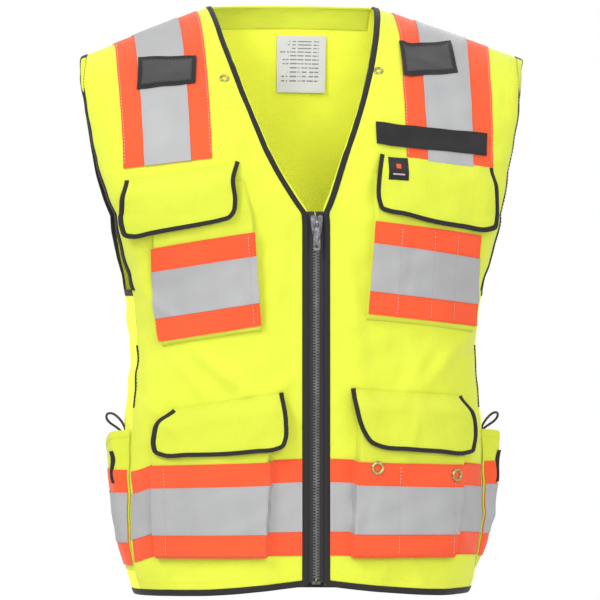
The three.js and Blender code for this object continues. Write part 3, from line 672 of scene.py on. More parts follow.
@dataclass(frozen=True)
class RibbedFinish:
    """Ribbed or braided black goods: binding, zip tape and elastic."""

    name: str
    colour: Colour = (0.010, 0.0092, 0.0096)
    light: Colour = (0.027, 0.0245, 0.0255)
    pitch: float = 1.1
    turn: float = 0.0

    def make(self) -> bpy.types.Material:
        """Builds the material."""
        bench = Bench(self.name, 0.8, self.colour)
        bench.fixed(sheen_weight=0.08, sheen_roughness=0.4, specular_ior_level=0.25)
        place = bench.cloth_place()
        x, y, _ = bench.split(bench.scaled(place, 1, 1, self.turn))
        ribs = bench.level(bench.waves(y, self.pitch), -1, 1, 0, 1)
        cross = bench.level(bench.waves(x, self.pitch * 0.7), -1, 1, 0.4, 1)
        fuzz = bench.noise(place, 1500, 2)
        threads = bench.math("MULTIPLY", ribs, cross)
        tone = bench.math("MULTIPLY_ADD", fuzz, 0.45, bench.math("MULTIPLY", threads, 0.6))
        bench.colour(bench.ramp(tone, (0.15, self.colour), (0.85, self.light)))
        bench.relief(threads, 0.16)
        return bench.material


@dataclass(frozen=True)
class LoopFinish:
    """Brushed loop tape with a short dark nap."""

    name: str
    colour: Colour
    light: Colour

    def make(self) -> bpy.types.Material:
        """Builds the material."""
        bench = Bench(self.name, 0.95, self.colour)
        bench.fixed(sheen_weight=0.12, sheen_roughness=0.6, specular_ior_level=0.15)
        place = bench.cloth_place()
        nap = bench.noise(place, 1100, 4)
        patch = bench.noise(bench.scaled(place, 0.5, 1), 60, 3)
        tone = bench.math("MULTIPLY_ADD", patch, 0.5, bench.math("MULTIPLY", nap, 0.55))
        bench.colour(bench.ramp(tone, (0.3, self.colour), (0.75, self.light)))
        bench.relief(nap, 0.3)
        return bench.material


@dataclass(frozen=True)
class PrintedLabelFinish:
    """Satin label with blank ruled lines in place of words."""

    name: str
    ground: Colour = (0.60, 0.595, 0.62)
    ink: Colour = (0.14, 0.14, 0.16)
    width: float = 50.0
    margin: float = 6.0
    pitch: float = 4.2
    lowest: float = 8.0
    highest: float = 56.0

    def make(self) -> bpy.types.Material:
        """Builds the material."""
        bench = Bench(self.name, 0.5, self.ground)
        bench.fixed(sheen_weight=0.1, specular_ior_level=0.4)
        place = bench.cloth_place()
        x, y, _ = bench.split(place)
        row = bench.math("MULTIPLY", y, 1 / (self.pitch * MM))
        within = bench.math("FRACT", row)
        line = bench.math("LESS_THAN", bench.math("ABSOLUTE", bench.math("SUBTRACT", within, 0.5)), 0.17)
        start = bench.math("GREATER_THAN", x, self.margin * MM)
        stop = bench.math("LESS_THAN", x, self._row_length(bench, row))
        inside = bench.math("MULTIPLY", start, stop)
        broken = bench.math("GREATER_THAN", bench.noise(bench.scaled(place, 1, 0.05), 620, 0), 0.40)
        upper = bench.math("GREATER_THAN", y, self.lowest * MM)
        below = bench.math("LESS_THAN", y, self.highest * MM)
        band = bench.math("MULTIPLY", bench.math("MULTIPLY", upper, below), broken)
        mark = bench.math("MULTIPLY", bench.math("MULTIPLY", line, inside), band)
        satin = bench.level(bench.waves(x, 0.6), -1, 1, 0, 1)
        ground = bench.ramp(satin, (0, tuple(0.94 * part for part in self.ground)), (1, self.ground))
        bench.colour(bench.blend(bench.math("MULTIPLY", mark, 0.9), ground, self.ink))
        bench.relief(satin, 0.04)
        return bench.material

    def _row_length(self, bench: Bench, row: Socket) -> Socket:
        """How far each ruled line runs, uneven as written lines are."""
        number = bench.math("MULTIPLY", bench.math("FLOOR", row), 12.99)
        wild = bench.math("FRACT", bench.math("MULTIPLY", bench.math("SINE", number), 43.7))
        return bench.math("MULTIPLY_ADD", wild, 14 * MM, (self.width - 22) * MM)


@dataclass(frozen=True)
class MouldedFinish:
    """Moulded plastic with a fine grain and rubbed edges."""

    name: str
    colour: Colour
    light: Colour
    rough: float = 0.42

    def make(self) -> bpy.types.Material:
        """Builds the material."""
        bench = Bench(self.name, self.rough, self.colour)
        bench.fixed(specular_ior_level=0.5)
        place = bench.object_place()
        grain = bench.noise(place, 2600, 2)
        drift = bench.noise(place, 90, 3)
        bench.colour(bench.ramp(drift, (0.35, self.colour), (0.75, self.light)))
        bench.roughness(bench.level(grain, 0.3, 0.7, self.rough - 0.08, self.rough + 0.12))
        bench.relief(grain, 0.03)
        return bench.material


@dataclass(frozen=True)
class MetalFinish:
    """Cast or pressed metal, brighter where hands rub it."""

    name: str
    colour: Colour
    dull: Colour
    rough: float = 0.32

    def make(self) -> bpy.types.Material:
        """Builds the material."""
        bench = Bench(self.name, self.rough, self.colour)
        bench.fixed(metallic=0.95)
        place = bench.object_place()
        tarnish = bench.noise(place, 320, 4)
        scratch = bench.noise(bench.scaled(place, 0.2, 1, 20), 2400, 2)
        bench.colour(bench.ramp(tarnish, (0.35, self.dull), (0.65, self.colour)))
        bench.roughness(bench.level(scratch, 0.3, 0.7, self.rough - 0.08, self.rough + 0.16))
        bench.relief(scratch, 0.02)
        return bench.material


class Finish(Enum):
    """Every finish on the vest."""

    LIME = WovenFinish("lime_cloth", (0.60, 0.66, 0.047), (0.49, 0.55, 0.032), pitch=0.8)
    LIME_TRIM = WovenFinish("lime_trim", (0.545, 0.605, 0.044), (0.455, 0.51, 0.031), pitch=0.6, turn=45)
    # The mesh's colour is set well above the lime cloth's: painted light standing in for the light that
    # reaches the inside of the back through the open mesh.
    MESH = AiryMeshFinish("lime_mesh", (0.93, 0.98, 0.070), (0.74, 0.80, 0.045))
    ORANGE = WovenFinish("orange_tape", (0.77, 0.090, 0.026), (0.60, 0.058, 0.016), pitch=0.7, depth=0.08)
    SILVER = ReflectiveFinish("reflective_tape")
    BINDING = RibbedFinish("folded_binding")
    ZIP_TAPE = RibbedFinish("zip_tape", (0.024, 0.022, 0.024), (0.058, 0.052, 0.056), pitch=1.6, turn=35)
    ELASTIC = RibbedFinish("braided_elastic", (0.02, 0.018, 0.02), (0.07, 0.065, 0.07), pitch=0.9, turn=40)
    LOOP = LoopFinish("loop_tape", (0.008, 0.008, 0.009), (0.020, 0.020, 0.021))
    PATCH = LoopFinish("mic_tab_cloth", (0.030, 0.030, 0.031), (0.062, 0.062, 0.063))
    LABEL = PrintedLabelFinish("ruled_label")
    PLASTIC = MouldedFinish("moulded_teeth", (0.058, 0.058, 0.060), (0.11, 0.11, 0.114))
    STEEL = MetalFinish("slider_metal", (0.17, 0.17, 0.18), (0.07, 0.07, 0.075), 0.42)
    BRASS = MetalFinish("pale_brass", (0.50, 0.45, 0.19), (0.24, 0.21, 0.08), 0.30)
    LIME_THREAD = WovenFinish("lime_thread", (0.60, 0.78, 0.06), (0.42, 0.56, 0.03), pitch=0.5)
    PALE_THREAD = WovenFinish("pale_thread", (0.44, 0.36, 0.38), (0.32, 0.25, 0.27), pitch=0.5)
    ORANGE_THREAD = WovenFinish("orange_thread", (0.62, 0.09, 0.03), (0.45, 0.06, 0.02), pitch=0.5)
    DARK_THREAD = WovenFinish("dark_thread", (0.020, 0.019, 0.021), (0.012, 0.011, 0.012), pitch=0.5)

    def material(self) -> bpy.types.Material:
        """The finish's material, built the first time it is asked for."""
        return bpy.data.materials.get(self.value.name) or self.value.make()


# ---------------------------------------------------------------- making and hanging pieces
@dataclass(frozen=True)
class Hang:
    """How a piece follows the frame: attached to one body, or, where a second body is named, left unattached
    with its transform baked in.
    """

    body: str
    towards: Optional[str] = None
    start: tuple[float, float, float] = (0.0, 0.0, 0.0)
    end: tuple[float, float, float] = (0.0, 0.0, 0.0)

    def apply(self, piece: Piece) -> None:
        """Attaches the piece to its body, or bakes in its transform where a second body is named."""
        if self.towards is None:
            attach(piece, self.body)
        else:
            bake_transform(piece)


def front_hang(side: Side) -> Hang:
    """Hang from the back towards a front.

    Its start and end lie on a line square to the sloping shoulder line; the piece is left unattached with its
    transform baked in.
    """
    line = Vector((-0.437 * side.sign, -0.636, -0.636))
    top = Vector((side.sign * FORM.neck_half_width * MM, FORM.shoulder_inner_y * MM, 0.0))
    return Hang("back", f"front_{side.value}", tuple(top + line * 0.006), tuple(top + line * 0.150))


class Maker:
    """Turns point lists into finished, hung pieces and keeps each sheet's flat cut."""

    cuts: dict[str, tuple[float, float, float]] = {}

    @staticmethod
    def mesh(name: str, points: Array, faces: Sequence[Sequence[int]], finish: Finish,
             uvs: Optional[Array] = None, sharp: float = 50.0) -> Piece:
        """Makes a mesh object.

        Args:
            name: The piece's name.
            points: Its points in metres.
            faces: Corner numbers of each face.
            finish: What it is made of.
            uvs: Place on the cloth in metres for each point.
            sharp: Edges that turn more than this many degrees stay crisp.

        Returns:
            The object, linked into the scene.
        """
        data = bpy.data.meshes.new(name)
        data.from_pydata(np.asarray(points).reshape(-1, 3).tolist(), [], [list(face) for face in faces])
        data.update()
        if uvs is not None:
            layer = data.uv_layers.new(name="cloth")
            corners = np.empty(len(data.loops), np.int32)
            data.loops.foreach_get("vertex_index", corners)
            layer.data.foreach_set("uv", np.asarray(uvs, np.float32).reshape(-1, 2)[corners].ravel())
        data.polygons.foreach_set("use_smooth", [True] * len(data.polygons))
        data.set_sharp_from_angle(angle=math.radians(sharp))
        data.materials.append(finish.material())
        return linked(name, data)

    @staticmethod
    def finished(piece: Piece, hang: Hang, slot: str, nodes: Sequence[str] = ()) -> None:
        """Hangs a piece on the frame and reports it.

        Args:
            piece: The piece.
            hang: How it follows the frame.
            slot: The record's material slot; not used.
            nodes: The frame's nodes that it stands for.
        """
        if nodes:
            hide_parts(*nodes)
        hang.apply(piece)
        log.info("%-28s %6d faces on %s", piece.name, len(piece.data.polygons), hang.body)

    @staticmethod
    def shell(name: str, angle: Array, level: Array, inner: Offset, outer: Offset,
              finish: Finish) -> Piece:
        """Makes a closed sheet between two offsets over a lattice of places.

        Args:
            name: The piece's name.
            angle: Angles, rows by columns.
            level: Levels, rows by columns.
            inner: Offset of the inner face.
            outer: Offset of the outer face.
            finish: What it is made of.

        Returns:
            The object.
        """
        angle, level = np.broadcast_arrays(angle, level)
        over = FORM.place(angle, level, np.broadcast_to(outer, angle.shape))
        under = FORM.place(angle, level, np.broadcast_to(inner, angle.shape))
        around = np.where(angle <= 180, FORM.girth(angle), 2 * GIRTH_RUN[-1] - FORM.girth(angle))
        flat = np.stack([around, level], -1) * MM
        return Maker.slab(name, over, under, finish, flat)

    @staticmethod
    def slab(name: str, over: Array, under: Array, finish: Finish, flat: Array) -> Piece:
        """Makes a closed sheet from two point lattices, outer and inner, with its flat pattern."""
        rows, columns = over.shape[:2]
        count = rows * columns
        grid = np.arange(count).reshape(rows, columns)
        a, b, c, d = grid[:-1, :-1], grid[:-1, 1:], grid[1:, 1:], grid[1:, :-1]
        top = np.stack([a, b, c, d], -1).reshape(-1, 4)
        rim = np.concatenate([grid[0, :-1], grid[:-1, -1], grid[-1, :0:-1], grid[:0:-1, 0]])
        after = np.roll(rim, -1)
        walls = np.stack([rim, rim + count, after + count, after], -1)
        faces = np.concatenate([top, top[:, ::-1] + count, walls])
        points = np.concatenate([over.reshape(-1, 3), under.reshape(-1, 3)])
        if Maker.volume(points, faces) < 0:
            faces = faces[:, ::-1]
        flat = flat.reshape(-1, 2)
        width = np.linalg.norm(np.diff(over, axis=1), axis=2).sum(axis=1).max()
        length = np.linalg.norm(np.diff(over, axis=0), axis=2).sum(axis=0).max()
        first, second = points[top[:, 2]] - points[top[:, 0]], points[top[:, 3]] - points[top[:, 1]]
        area = np.linalg.norm(np.cross(first, second), axis=1).sum() / 2
        Maker.cuts[name] = (float(width), float(length), float(area))
        return Maker.mesh(name, points, faces, finish, np.concatenate([flat, flat]))

    @staticmethod
    def volume(points: Array, faces: Array) -> float:
        """Signed volume of a closed quad mesh."""
        a, b, c, d = (points[faces[:, index]] for index in range(4))
        first = np.einsum("ij,ij->i", a, np.cross(b, c)).sum()
        return float(first + np.einsum("ij,ij->i", a, np.cross(c, d)).sum())

    @staticmethod
    def tube(points: Array, closed: bool = False) -> list[list[int]]:
        """Outward faces of a tube, with its ends capped or joined to each other.

        Args:
            points: Its rings, one row each.
            closed: True where the last ring joins the first.

        Returns:
            Corner numbers of each face.
        """
        rows, columns = points.shape[:2]
        grid = np.arange(rows * columns).reshape(rows, columns)
        first, after = (grid, np.roll(grid, -1, 0)) if closed else (grid[:-1], grid[1:])
        quads = np.stack([first, np.roll(first, -1, 1), np.roll(after, -1, 1), after], -1).reshape(-1, 4)
        faces = quads.tolist() + ([] if closed else [grid[0, ::-1].tolist(), grid[-1].tolist()])
        if Maker.volume(points.reshape(-1, 3), quads) < 0:
            faces = [face[::-1] for face in faces]
        return faces

    @staticmethod
    def joined(name: str, parts: Sequence[Piece]) -> Piece:
        """Joins parts into the first one and names it."""
        bpy.ops.object.select_all(action="DESELECT")
        for part in parts:
            part.select_set(True)
        bpy.context.view_layer.objects.active = parts[0]
        if len(parts) > 1:
            bpy.ops.object.join()
        parts[0].name = name
        parts[0].data.name = name
        return parts[0]


@dataclass(frozen=True)
class Run:
    """A line on the cloth, as angles and levels along it."""

    angle: Array
    level: Array

    @staticmethod
    def of(angle: Sequence[float], level: Sequence[float], spacing: float = 4.0) -> "Run":
        """A run through given corners, with places a few millimetres apart.

        Args:
            angle: Angles of the corners.
            level: Levels of the corners.
            spacing: Distance between places.

        Returns:
            The run.
        """
        angle, level = np.asarray(angle, float), np.asarray(level, float)
        points = FORM.bare(angle, level)
        run = run_along(points)
        at = np.linspace(0, run[-1], max(2, int(run[-1] / spacing)))
        return Run(np.interp(at, run, angle), np.interp(at, run, level))

    def on(self, side: Side) -> "Run":
        """The same run on a side."""
        return Run(side.turn(self.angle), self.level)

    def points(self, offset: Offset) -> Array:
        """Points of the run, an offset out from the cloth."""
        return FORM.place(self.angle, self.level, offset)


@dataclass(frozen=True)
class Edging:
    """Folded binding round a cut edge, with its turned ridge and a slight ripple."""

    width: float = EDGING
    proud: float = 0.75

    def make(self, name: str, edge: Array, inner: Array, normal: Array,
             finish: Finish = Finish.BINDING) -> Piece:
        """Makes the binding along an edge.

        Args:
            name: The piece's name.
            edge: Points along the cut edge, in metres.
            inner: Points the binding's width in from the edge.
            normal: Outward directions along the edge.
            finish: What it is made of.

        Returns:
            The object.
        """
        inward = inner - edge
        width = np.linalg.norm(inward, axis=1, keepdims=True)
        inward = unit(inward)
        top, low = (CLOTH + self.proud) * MM, -self.proud * MM
        mid = (top + low) / 2
        ring = [(1.0, top - 0.25 * MM), (0.94, top), (0.3, top + 0.15 * MM), (0.06, top - 0.05 * MM),
                (-0.10, mid + (top - mid) * 0.5), (-0.13, mid), (-0.10, mid - (top - mid) * 0.5),
                (0.06, low + 0.05 * MM), (0.94, low), (1.0, low + 0.2 * MM)]
        run = run_along(edge)
        ripple = 1 + 0.05 * np.sin(run / (3.1 * MM))[:, None]
        points = np.stack([edge + inward * width * along + normal * height * ripple
                           for along, height in ring], axis=1)
        rows, columns = points.shape[:2]
        ring_run = np.linspace(0, 2 * self.width * MM, columns)
        uvs = np.stack([np.broadcast_to(ring_run, (rows, columns)),
                        np.broadcast_to(run[:, None], (rows, columns))], -1)
        return Maker.mesh(name, points, Maker.tube(points), finish, uvs, 70)

    def along(self, name: str, edge: Run, inner: Run, side: Side) -> Piece:
        """Makes the binding between an edge run and an inner run on the cloth."""
        edge, inner = edge.on(side), inner.on(side)
        return self.make(name, edge.points(0.0), inner.points(0.0), FORM.normal(edge.angle, edge.level))


@dataclass(frozen=True)
class Stitcher:
    """Lays rows of thread stitches as small rounded bars."""

    length: float = 2.7
    gap: float = 1.1
    radius: float = 0.34

    def row(self, points: Array, normal: Array) -> tuple[Array, Array]:
        """Stitches along a line of points.

        Args:
            points: Points along the line in metres.
            normal: Outward direction at each point.

        Returns:
            Points and faces of all the stitches.
        """
        run = run_along(points)
        pitch = (self.length + self.gap) * MM
        starts = np.arange(0.5 * pitch, run[-1] - self.length * MM, pitch)
        ends = [self._at(starts + share * self.length * MM, run, points) for share in (0, 0.25, 0.75, 1)]
        out = unit(self._at(starts, run, normal))
        side = np.cross(unit(ends[3] - ends[0]), out)
        r = self.radius * MM
        ring = [side * r, out * r, -side * r, -out * r * 0.5]
        middle = [end + one for end in ends[1:3] for one in ring]
        dip = out * r * 0.6
        block = np.stack([ends[0] - dip, *middle, ends[3] - dip], axis=1)
        faces = []
        for index in range(4):
            after = (index + 1) % 4
            faces += [[0, 1 + after, 1 + index, 1 + index], [1 + index, 1 + after, 5 + after, 5 + index],
                      [9, 5 + index, 5 + after, 5 + after]]
        faces = np.array(faces)[None] + (np.arange(len(starts)) * 10)[:, None, None]
        return block.reshape(-1, 3), faces.reshape(-1, 4)

    @staticmethod
    def _at(distance: Array, run: Array, values: Array) -> Array:
        """Values found part of the way along a run."""
        return np.stack([np.interp(distance, run, values[:, axis]) for axis in range(3)], -1)

    def make(self, name: str, rows: Sequence[Row], finish: Finish) -> Piece:
        """Makes one piece from several rows of stitches.

        Args:
            name: The piece's name.
            rows: Points and outward directions of each row.
            finish: The thread.

        Returns:
            The object.
        """
        points, faces, count = [], [], 0
        for line, normal in rows:
            found, corners = self.row(line, normal)
            points.append(found)
            faces.append(corners + count)
            count += len(found)
        points = np.concatenate(points)
        tidy = [list(dict.fromkeys(face)) for face in np.concatenate(faces).tolist()]
        return Maker.mesh(name, points, tidy, finish, points[:, [0, 2]], 80)


STITCH = Stitcher()


def stitch_line(run: Run, side: Side, offset: Offset) -> Row:
    """Points and outward directions of a stitch line on a side of the vest."""
    run = run.on(side)
    return run.points(offset), FORM.normal(run.angle, run.level)


def curve_through(points: Sequence[Sequence[float]], count: int) -> Array:
    """Smooth line through points, evenly spaced along it.

    Args:
        points: The points.
        count: How many places to return.

    Returns:
        The places, one row each.
    """
    held = np.asarray(points, float)
    run = run_along(held)
    slope = np.gradient(held, run, axis=0)
    at = np.linspace(0, run[-1], count)
    index = np.clip(np.searchsorted(run, at, side="right") - 1, 0, len(run) - 2)
    span = (run[index + 1] - run[index])[:, None]
    t = (at[:, None] - run[index][:, None]) / span
    start, stop = held[index], held[index + 1]
    return ((2 * t ** 3 - 3 * t ** 2 + 1) * start + (t ** 3 - 2 * t ** 2 + t) * span * slope[index]
            + (3 * t ** 2 - 2 * t ** 3) * stop + (t ** 3 - t ** 2) * span * slope[index + 1])


# ---------------------------------------------------------------- pockets as relief under the tapes
@dataclass(frozen=True)
class PocketForm:
    """Outline and height of a patch pocket on the front, by places across and up.

    low and high hold the inner and outer edge at the pocket's bottom and top; floor holds the
    height of its bottom at those edges.
    """

    side: Side
    low: tuple[float, float]
    high: tuple[float, float]
    floor: tuple[float, float]
    tops: tuple[float, float]
    proud: float
    ramp: float = 3.2

    def edges(self, level: Array) -> tuple[Array, Array]:
        """Angles of the inner and outer edges, on the left-hand form."""
        share = (level - self.floor[0]) / (self.tops[0] - self.floor[0])
        inner = self.low[0] + (self.high[0] - self.low[0]) * share
        outer = self.low[1] + (self.high[1] - self.low[1]) * share
        width = FORM.width_at(np.minimum(level, FORM.chest))
        return FORM.angle_of(inner / width), FORM.angle_of(outer / width)

    def ends(self, angle: Array) -> tuple[Array, Array]:
        """Heights of the bottom and top edges at an angle."""
        inner, outer = self.edges(np.full(np.shape(angle), float(self.floor[0])))
        share = np.clip((angle - inner) / (outer - inner), 0, 1)
        return (self.floor[0] + (self.floor[1] - self.floor[0]) * share,
                self.tops[0] + (self.tops[1] - self.tops[0]) * share)

    def mask(self, angle: Array, level: Array, grow: float = 0.0) -> Array:
        """Share of the pocket's height at a place, grown outwards by some millimetres."""
        fold = folded(angle)
        here = (angle <= 180) == (self.side is Side.LEFT)
        inner, outer = self.edges(level)
        girth = FORM.girth(fold)
        inside = np.minimum(girth - FORM.girth(inner), FORM.girth(outer) - girth)
        bottom, top = self.ends(fold)
        inside = np.minimum(inside, level - bottom)
        open_top = 0.3 + 0.7 * smooth((top - level) / 26)
        open_top = open_top * smooth((top + 3 - level) / 3)
        return np.where(here, smooth((inside + grow) / self.ramp) * open_top, 0.0)


@dataclass(frozen=True)
class HipForm:
    """Height of the gusseted pocket that stands off each hip."""

    front: float = 76.4
    back: float = 117.0
    bottom: float = 26.0
    top: float = 166.0
    proud: float = 18.0

    def mask(self, angle: Array, level: Array) -> Array:
        """How far the pocket stands off at a place, in millimetres."""
        fold = folded(angle)
        across = smooth((FORM.girth(fold) - FORM.girth(np.array(self.front)) + 3) / 14)
        across = across * smooth((FORM.girth(np.array(self.back)) - FORM.girth(fold)) / 16)
        up = np.clip((level - self.bottom) / (self.top - self.bottom), 0, 1) ** 0.8
        return self.proud * across * up * smooth((level - self.bottom) / 8)


CHEST_POCKETS = {
    Side.RIGHT: PocketForm(Side.RIGHT, (56, 156), (66, 172), (277, 261), (428, 414), 5.0),
    Side.LEFT: PocketForm(Side.LEFT, (52, 168.5), (64, 177), (289, 276), (434, 420), 5.0),
}
LOWER_POCKETS = {
    Side.RIGHT: PocketForm(Side.RIGHT, (53, 159), (44, 166), (42.3, 41.2), (200, 180), 8.0),
    Side.LEFT: PocketForm(Side.LEFT, (38, 145), (44, 164), (42.0, 41.0), (203, 194), 8.0),
}
HIP = HipForm()
POCKET_CLOTH = 1.2


def tape_lift(angle: Array, level: Array) -> Array:
    """How far a tape is carried out by the pockets under it."""
    found = np.zeros(np.broadcast(angle, level).shape)
    for pocket in (*CHEST_POCKETS.values(), *LOWER_POCKETS.values()):
        found = found + (pocket.proud + POCKET_CLOTH) * pocket.mask(angle, level, pocket.ramp)
    hip = HIP.mask(angle, level)
    return found + hip + np.where(hip > 0.02, POCKET_CLOTH, 0)


# ---------------------------------------------------------------- strips of tape on the cloth
@dataclass(frozen=True)
class Strip:
    """A straight-cut strip sewn on the front, given by its four corners (across, height)."""

    name: str
    corners: Corners
    base: float
    thickness: float
    finish: Finish
    over_pockets: bool = True
    jog: float = 0.0
    droop: float = 0.0

    def lattice(self, columns: int, rows: int, inset: float = 0.0) -> tuple[Array, Array]:
        """Angles and levels over the strip, drawn in from its edges by a distance."""
        long, tall = self._reach()
        u = np.linspace(inset / long, 1 - inset / long, columns)[None, :, None]
        v = np.linspace(inset / tall, 1 - inset / tall, rows)[:, None, None]
        return self._hung(between(self.corners, u, v))

    def _reach(self) -> tuple[float, float]:
        """Length of the strip's top edge and of the edge it starts from."""
        a, b, _, d = (np.array(corner, float) for corner in self.corners)
        return np.linalg.norm(b - a), np.linalg.norm(d - a)

    def _hung(self, place: Array) -> tuple[Array, Array]:
        """Angles and levels of places, dropped where the strip crosses a pocket or sags outwards."""
        angle, level = FORM.at(place[..., 0], place[..., 1])
        if self.jog:
            level = level - self.jog * np.clip(tape_lift(angle, level) / 9.0, 0, 1)
        return angle, level - self.droop * smooth((np.abs(place[..., 0]) - 158) / 30)

    def upright(self, share: float) -> Row:
        """A stitch line up the strip at a share of its length."""
        angle, level = self._hung(between(self.corners, share, np.linspace(0.02, 0.98, 60)[:, None]))
        return FORM.place(angle, level, self.offset(angle, level, 1.6)), FORM.normal(angle, level)

    def offset(self, angle: Array, level: Array, extra: float) -> Array:
        """Offset from the cloth at a place."""
        lift = tape_lift(angle, level) if self.over_pockets else 0.0
        return lift + self.base + extra

    def build(self) -> Piece:
        """Builds the strip."""
        long, tall = self._reach()
        columns, rows = max(6, int(long / 1.6)), max(4, int(tall / 3.2))
        angle, level = self.lattice(columns, rows)
        return Maker.shell(self.name, angle, level, self.offset(angle, level, 0.0),
                           self.offset(angle, level, self.thickness), self.finish)

    def seams(self, inset: float, sides: Sequence[str] = ("top", "bottom", "start", "end")) -> list[Row]:
        """Stitch lines just inside the strip's edges."""
        angle, level = self.lattice(60, 40, inset)
        lines = {"top": np.s_[0, :], "bottom": np.s_[-1, :], "start": np.s_[:, 0], "end": np.s_[:, -1]}
        found = []
        for side in sides:
            one, height = angle[lines[side]], level[lines[side]]
            out = self.offset(one, height, self.thickness + 0.1)
            found.append((FORM.place(one, height, out), FORM.normal(one, height)))
        return found


# ---------------------------------------------------------------- sub-assemblies
@dataclass
class SideCord:
    """Elastic pull cord that loops from each hip pocket's mouth and back into it."""

    side: Side
    radius: float = 1.3
    route: tuple[tuple[float, float, float], ...] = (
        (189, -2, 162), (189.3, -3, 170), (192, -4.5, 178), (197, -5, 185), (203, -3, 189.5),
        (208, 2, 189.5), (209, 8, 185), (205.5, 12, 180), (199, 13.5, 175.5), (192.5, 13.5, 170),
        (189, 13, 162))

    def build(self) -> None:
        held = np.array(self.route, float) * (self.side.sign, 1, 1)
        held[:, 2] -= SHOULDER_HEIGHT
        line = curve_through(held, 24) * MM
        name = f"side_cord_{self.side.value}"
        data = bpy.data.curves.new(name, "CURVE")
        data.dimensions = "3D"
        data.bevel_depth = self.radius * MM
        data.bevel_resolution = 5
        spline = data.splines.new("POLY")
        spline.points.add(len(line) - 1)
        spline.points.foreach_set("co", np.c_[line, np.ones(len(line))].ravel())
        data.materials.append(Finish.ELASTIC.material())
        piece = linked(f"elastic_cord_{self.side.value}", data)
        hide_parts(name)
        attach(piece, "back")


@dataclass
class BackCloth:
    """Mesh back from side seam to side seam and up to the shoulders, with its trims."""

    columns: int = 200
    facing_level: float = 573.8
    label_angles: tuple[float, float] = (171.0, 181.8)
    label_levels: tuple[float, float] = (503.0, 563.0)

    def build(self) -> None:
        """Builds every piece of the back."""
        self.panel()
        self.facing()
        self.label()
        self.hem()
        for side in Side:
            self.armhole(side)

    def panel(self) -> None:
        """The back cloth itself."""
        low = np.linspace(0, FORM.armpit - 0.4, 80)
        high = np.linspace(FORM.armpit, FORM.crest - 0.4, 90)
        levels = np.concatenate([low, high])[:, None]
        edge = FORM.back_edge(levels)
        share = np.linspace(0, 1, self.columns)[None, :]
        angle = edge + (360 - 2 * edge) * share
        piece = Maker.shell("back_cloth", angle, levels, 0.0, CLOTH, Finish.MESH)
        Maker.finished(piece, Hang("back"), "mesh", ["back_panel"])

    def facing(self) -> None:
        """The smooth facing sewn inside the back of the neck."""
        edge = float(FORM.angle_of(np.array(FORM.neck_half_width / FORM.shoulder_half_width))) - 0.6
        angle = np.linspace(180 - edge, 180 + edge, 70)[None, :]
        level = np.linspace(self.facing_level, FORM.crest - 0.2, 26)[:, None]
        piece = Maker.shell("neck_facing_cloth", angle, level, -1.3, -0.5, Finish.LIME)
        Maker.finished(piece, Hang("back"), "lime", ["neck_facing"])
        low = Run.of(np.linspace(180 - edge, 180 + edge, 40), np.full(40, self.facing_level + 2))
        thread = STITCH.make("facing_stitches", [(low.points(-1.4), -FORM.normal(low.angle, low.level))],
                             Finish.LIME_THREAD)
        Maker.finished(thread, Hang("back"), "lime")

    def label(self) -> None:
        """The size label that hangs inside the back, curling a little at its free end."""
        angle = np.linspace(*self.label_angles, 24)[None, :]
        level = np.linspace(*self.label_levels, 30)[:, None]
        free = 1 - (level - self.label_levels[0]) / (self.label_levels[1] - self.label_levels[0])
        curl = -2.4 * free ** 2 - 0.6 * np.sin((angle - 171) * 0.6) * free
        piece = Maker.shell("size_label_cloth", angle, level, curl - 2.2, curl - 1.7, Finish.LABEL)
        layer = piece.data.uv_layers["cloth"].data
        flat = np.empty(len(layer) * 2, np.float32)
        layer.foreach_get("uv", flat)
        flat = flat.reshape(-1, 2)
        flat = flat - flat.min(axis=0)
        layer.foreach_set("uv", np.abs(flat).astype(np.float32).ravel())
        Maker.finished(piece, Hang("back"), "white", ["size_label"])

    def hem(self) -> None:
        """The binding round the back hem, side seam to side seam."""
        angle = np.linspace(FORM.seam, 360 - FORM.seam, 240)
        edge, inner = Run(angle, np.zeros(240)), Run(angle, np.full(240, EDGING))
        piece = Edging().along("back_hem_edging", edge, inner, Side.LEFT)
        Maker.finished(piece, Hang("back"), "black", ["back_hem_binding"])

    def armhole(self, side: Side) -> None:
        """The binding up the back of one armhole and along its bottom."""
        under = np.linspace(FORM.seam, 89.4, 8)
        level = np.concatenate([np.full(8, FORM.armpit), np.linspace(FORM.armpit + 3, FORM.crest, 80)])
        angle = np.concatenate([under, FORM.back_edge(level[8:])])
        inner_angle = np.concatenate([under, FORM.inset(angle[8:], level[8:], EDGING, 1.0)])
        inner_level = np.concatenate([np.full(8, FORM.armpit - EDGING), level[8:]])
        edge, inner = Run(angle, level), Run(inner_angle, inner_level)
        piece = Edging().along(f"armhole_edging_{side.value}", edge, inner, side)
        Maker.finished(piece, Hang("back"), "black", [f"armhole_binding_{side.value}"])


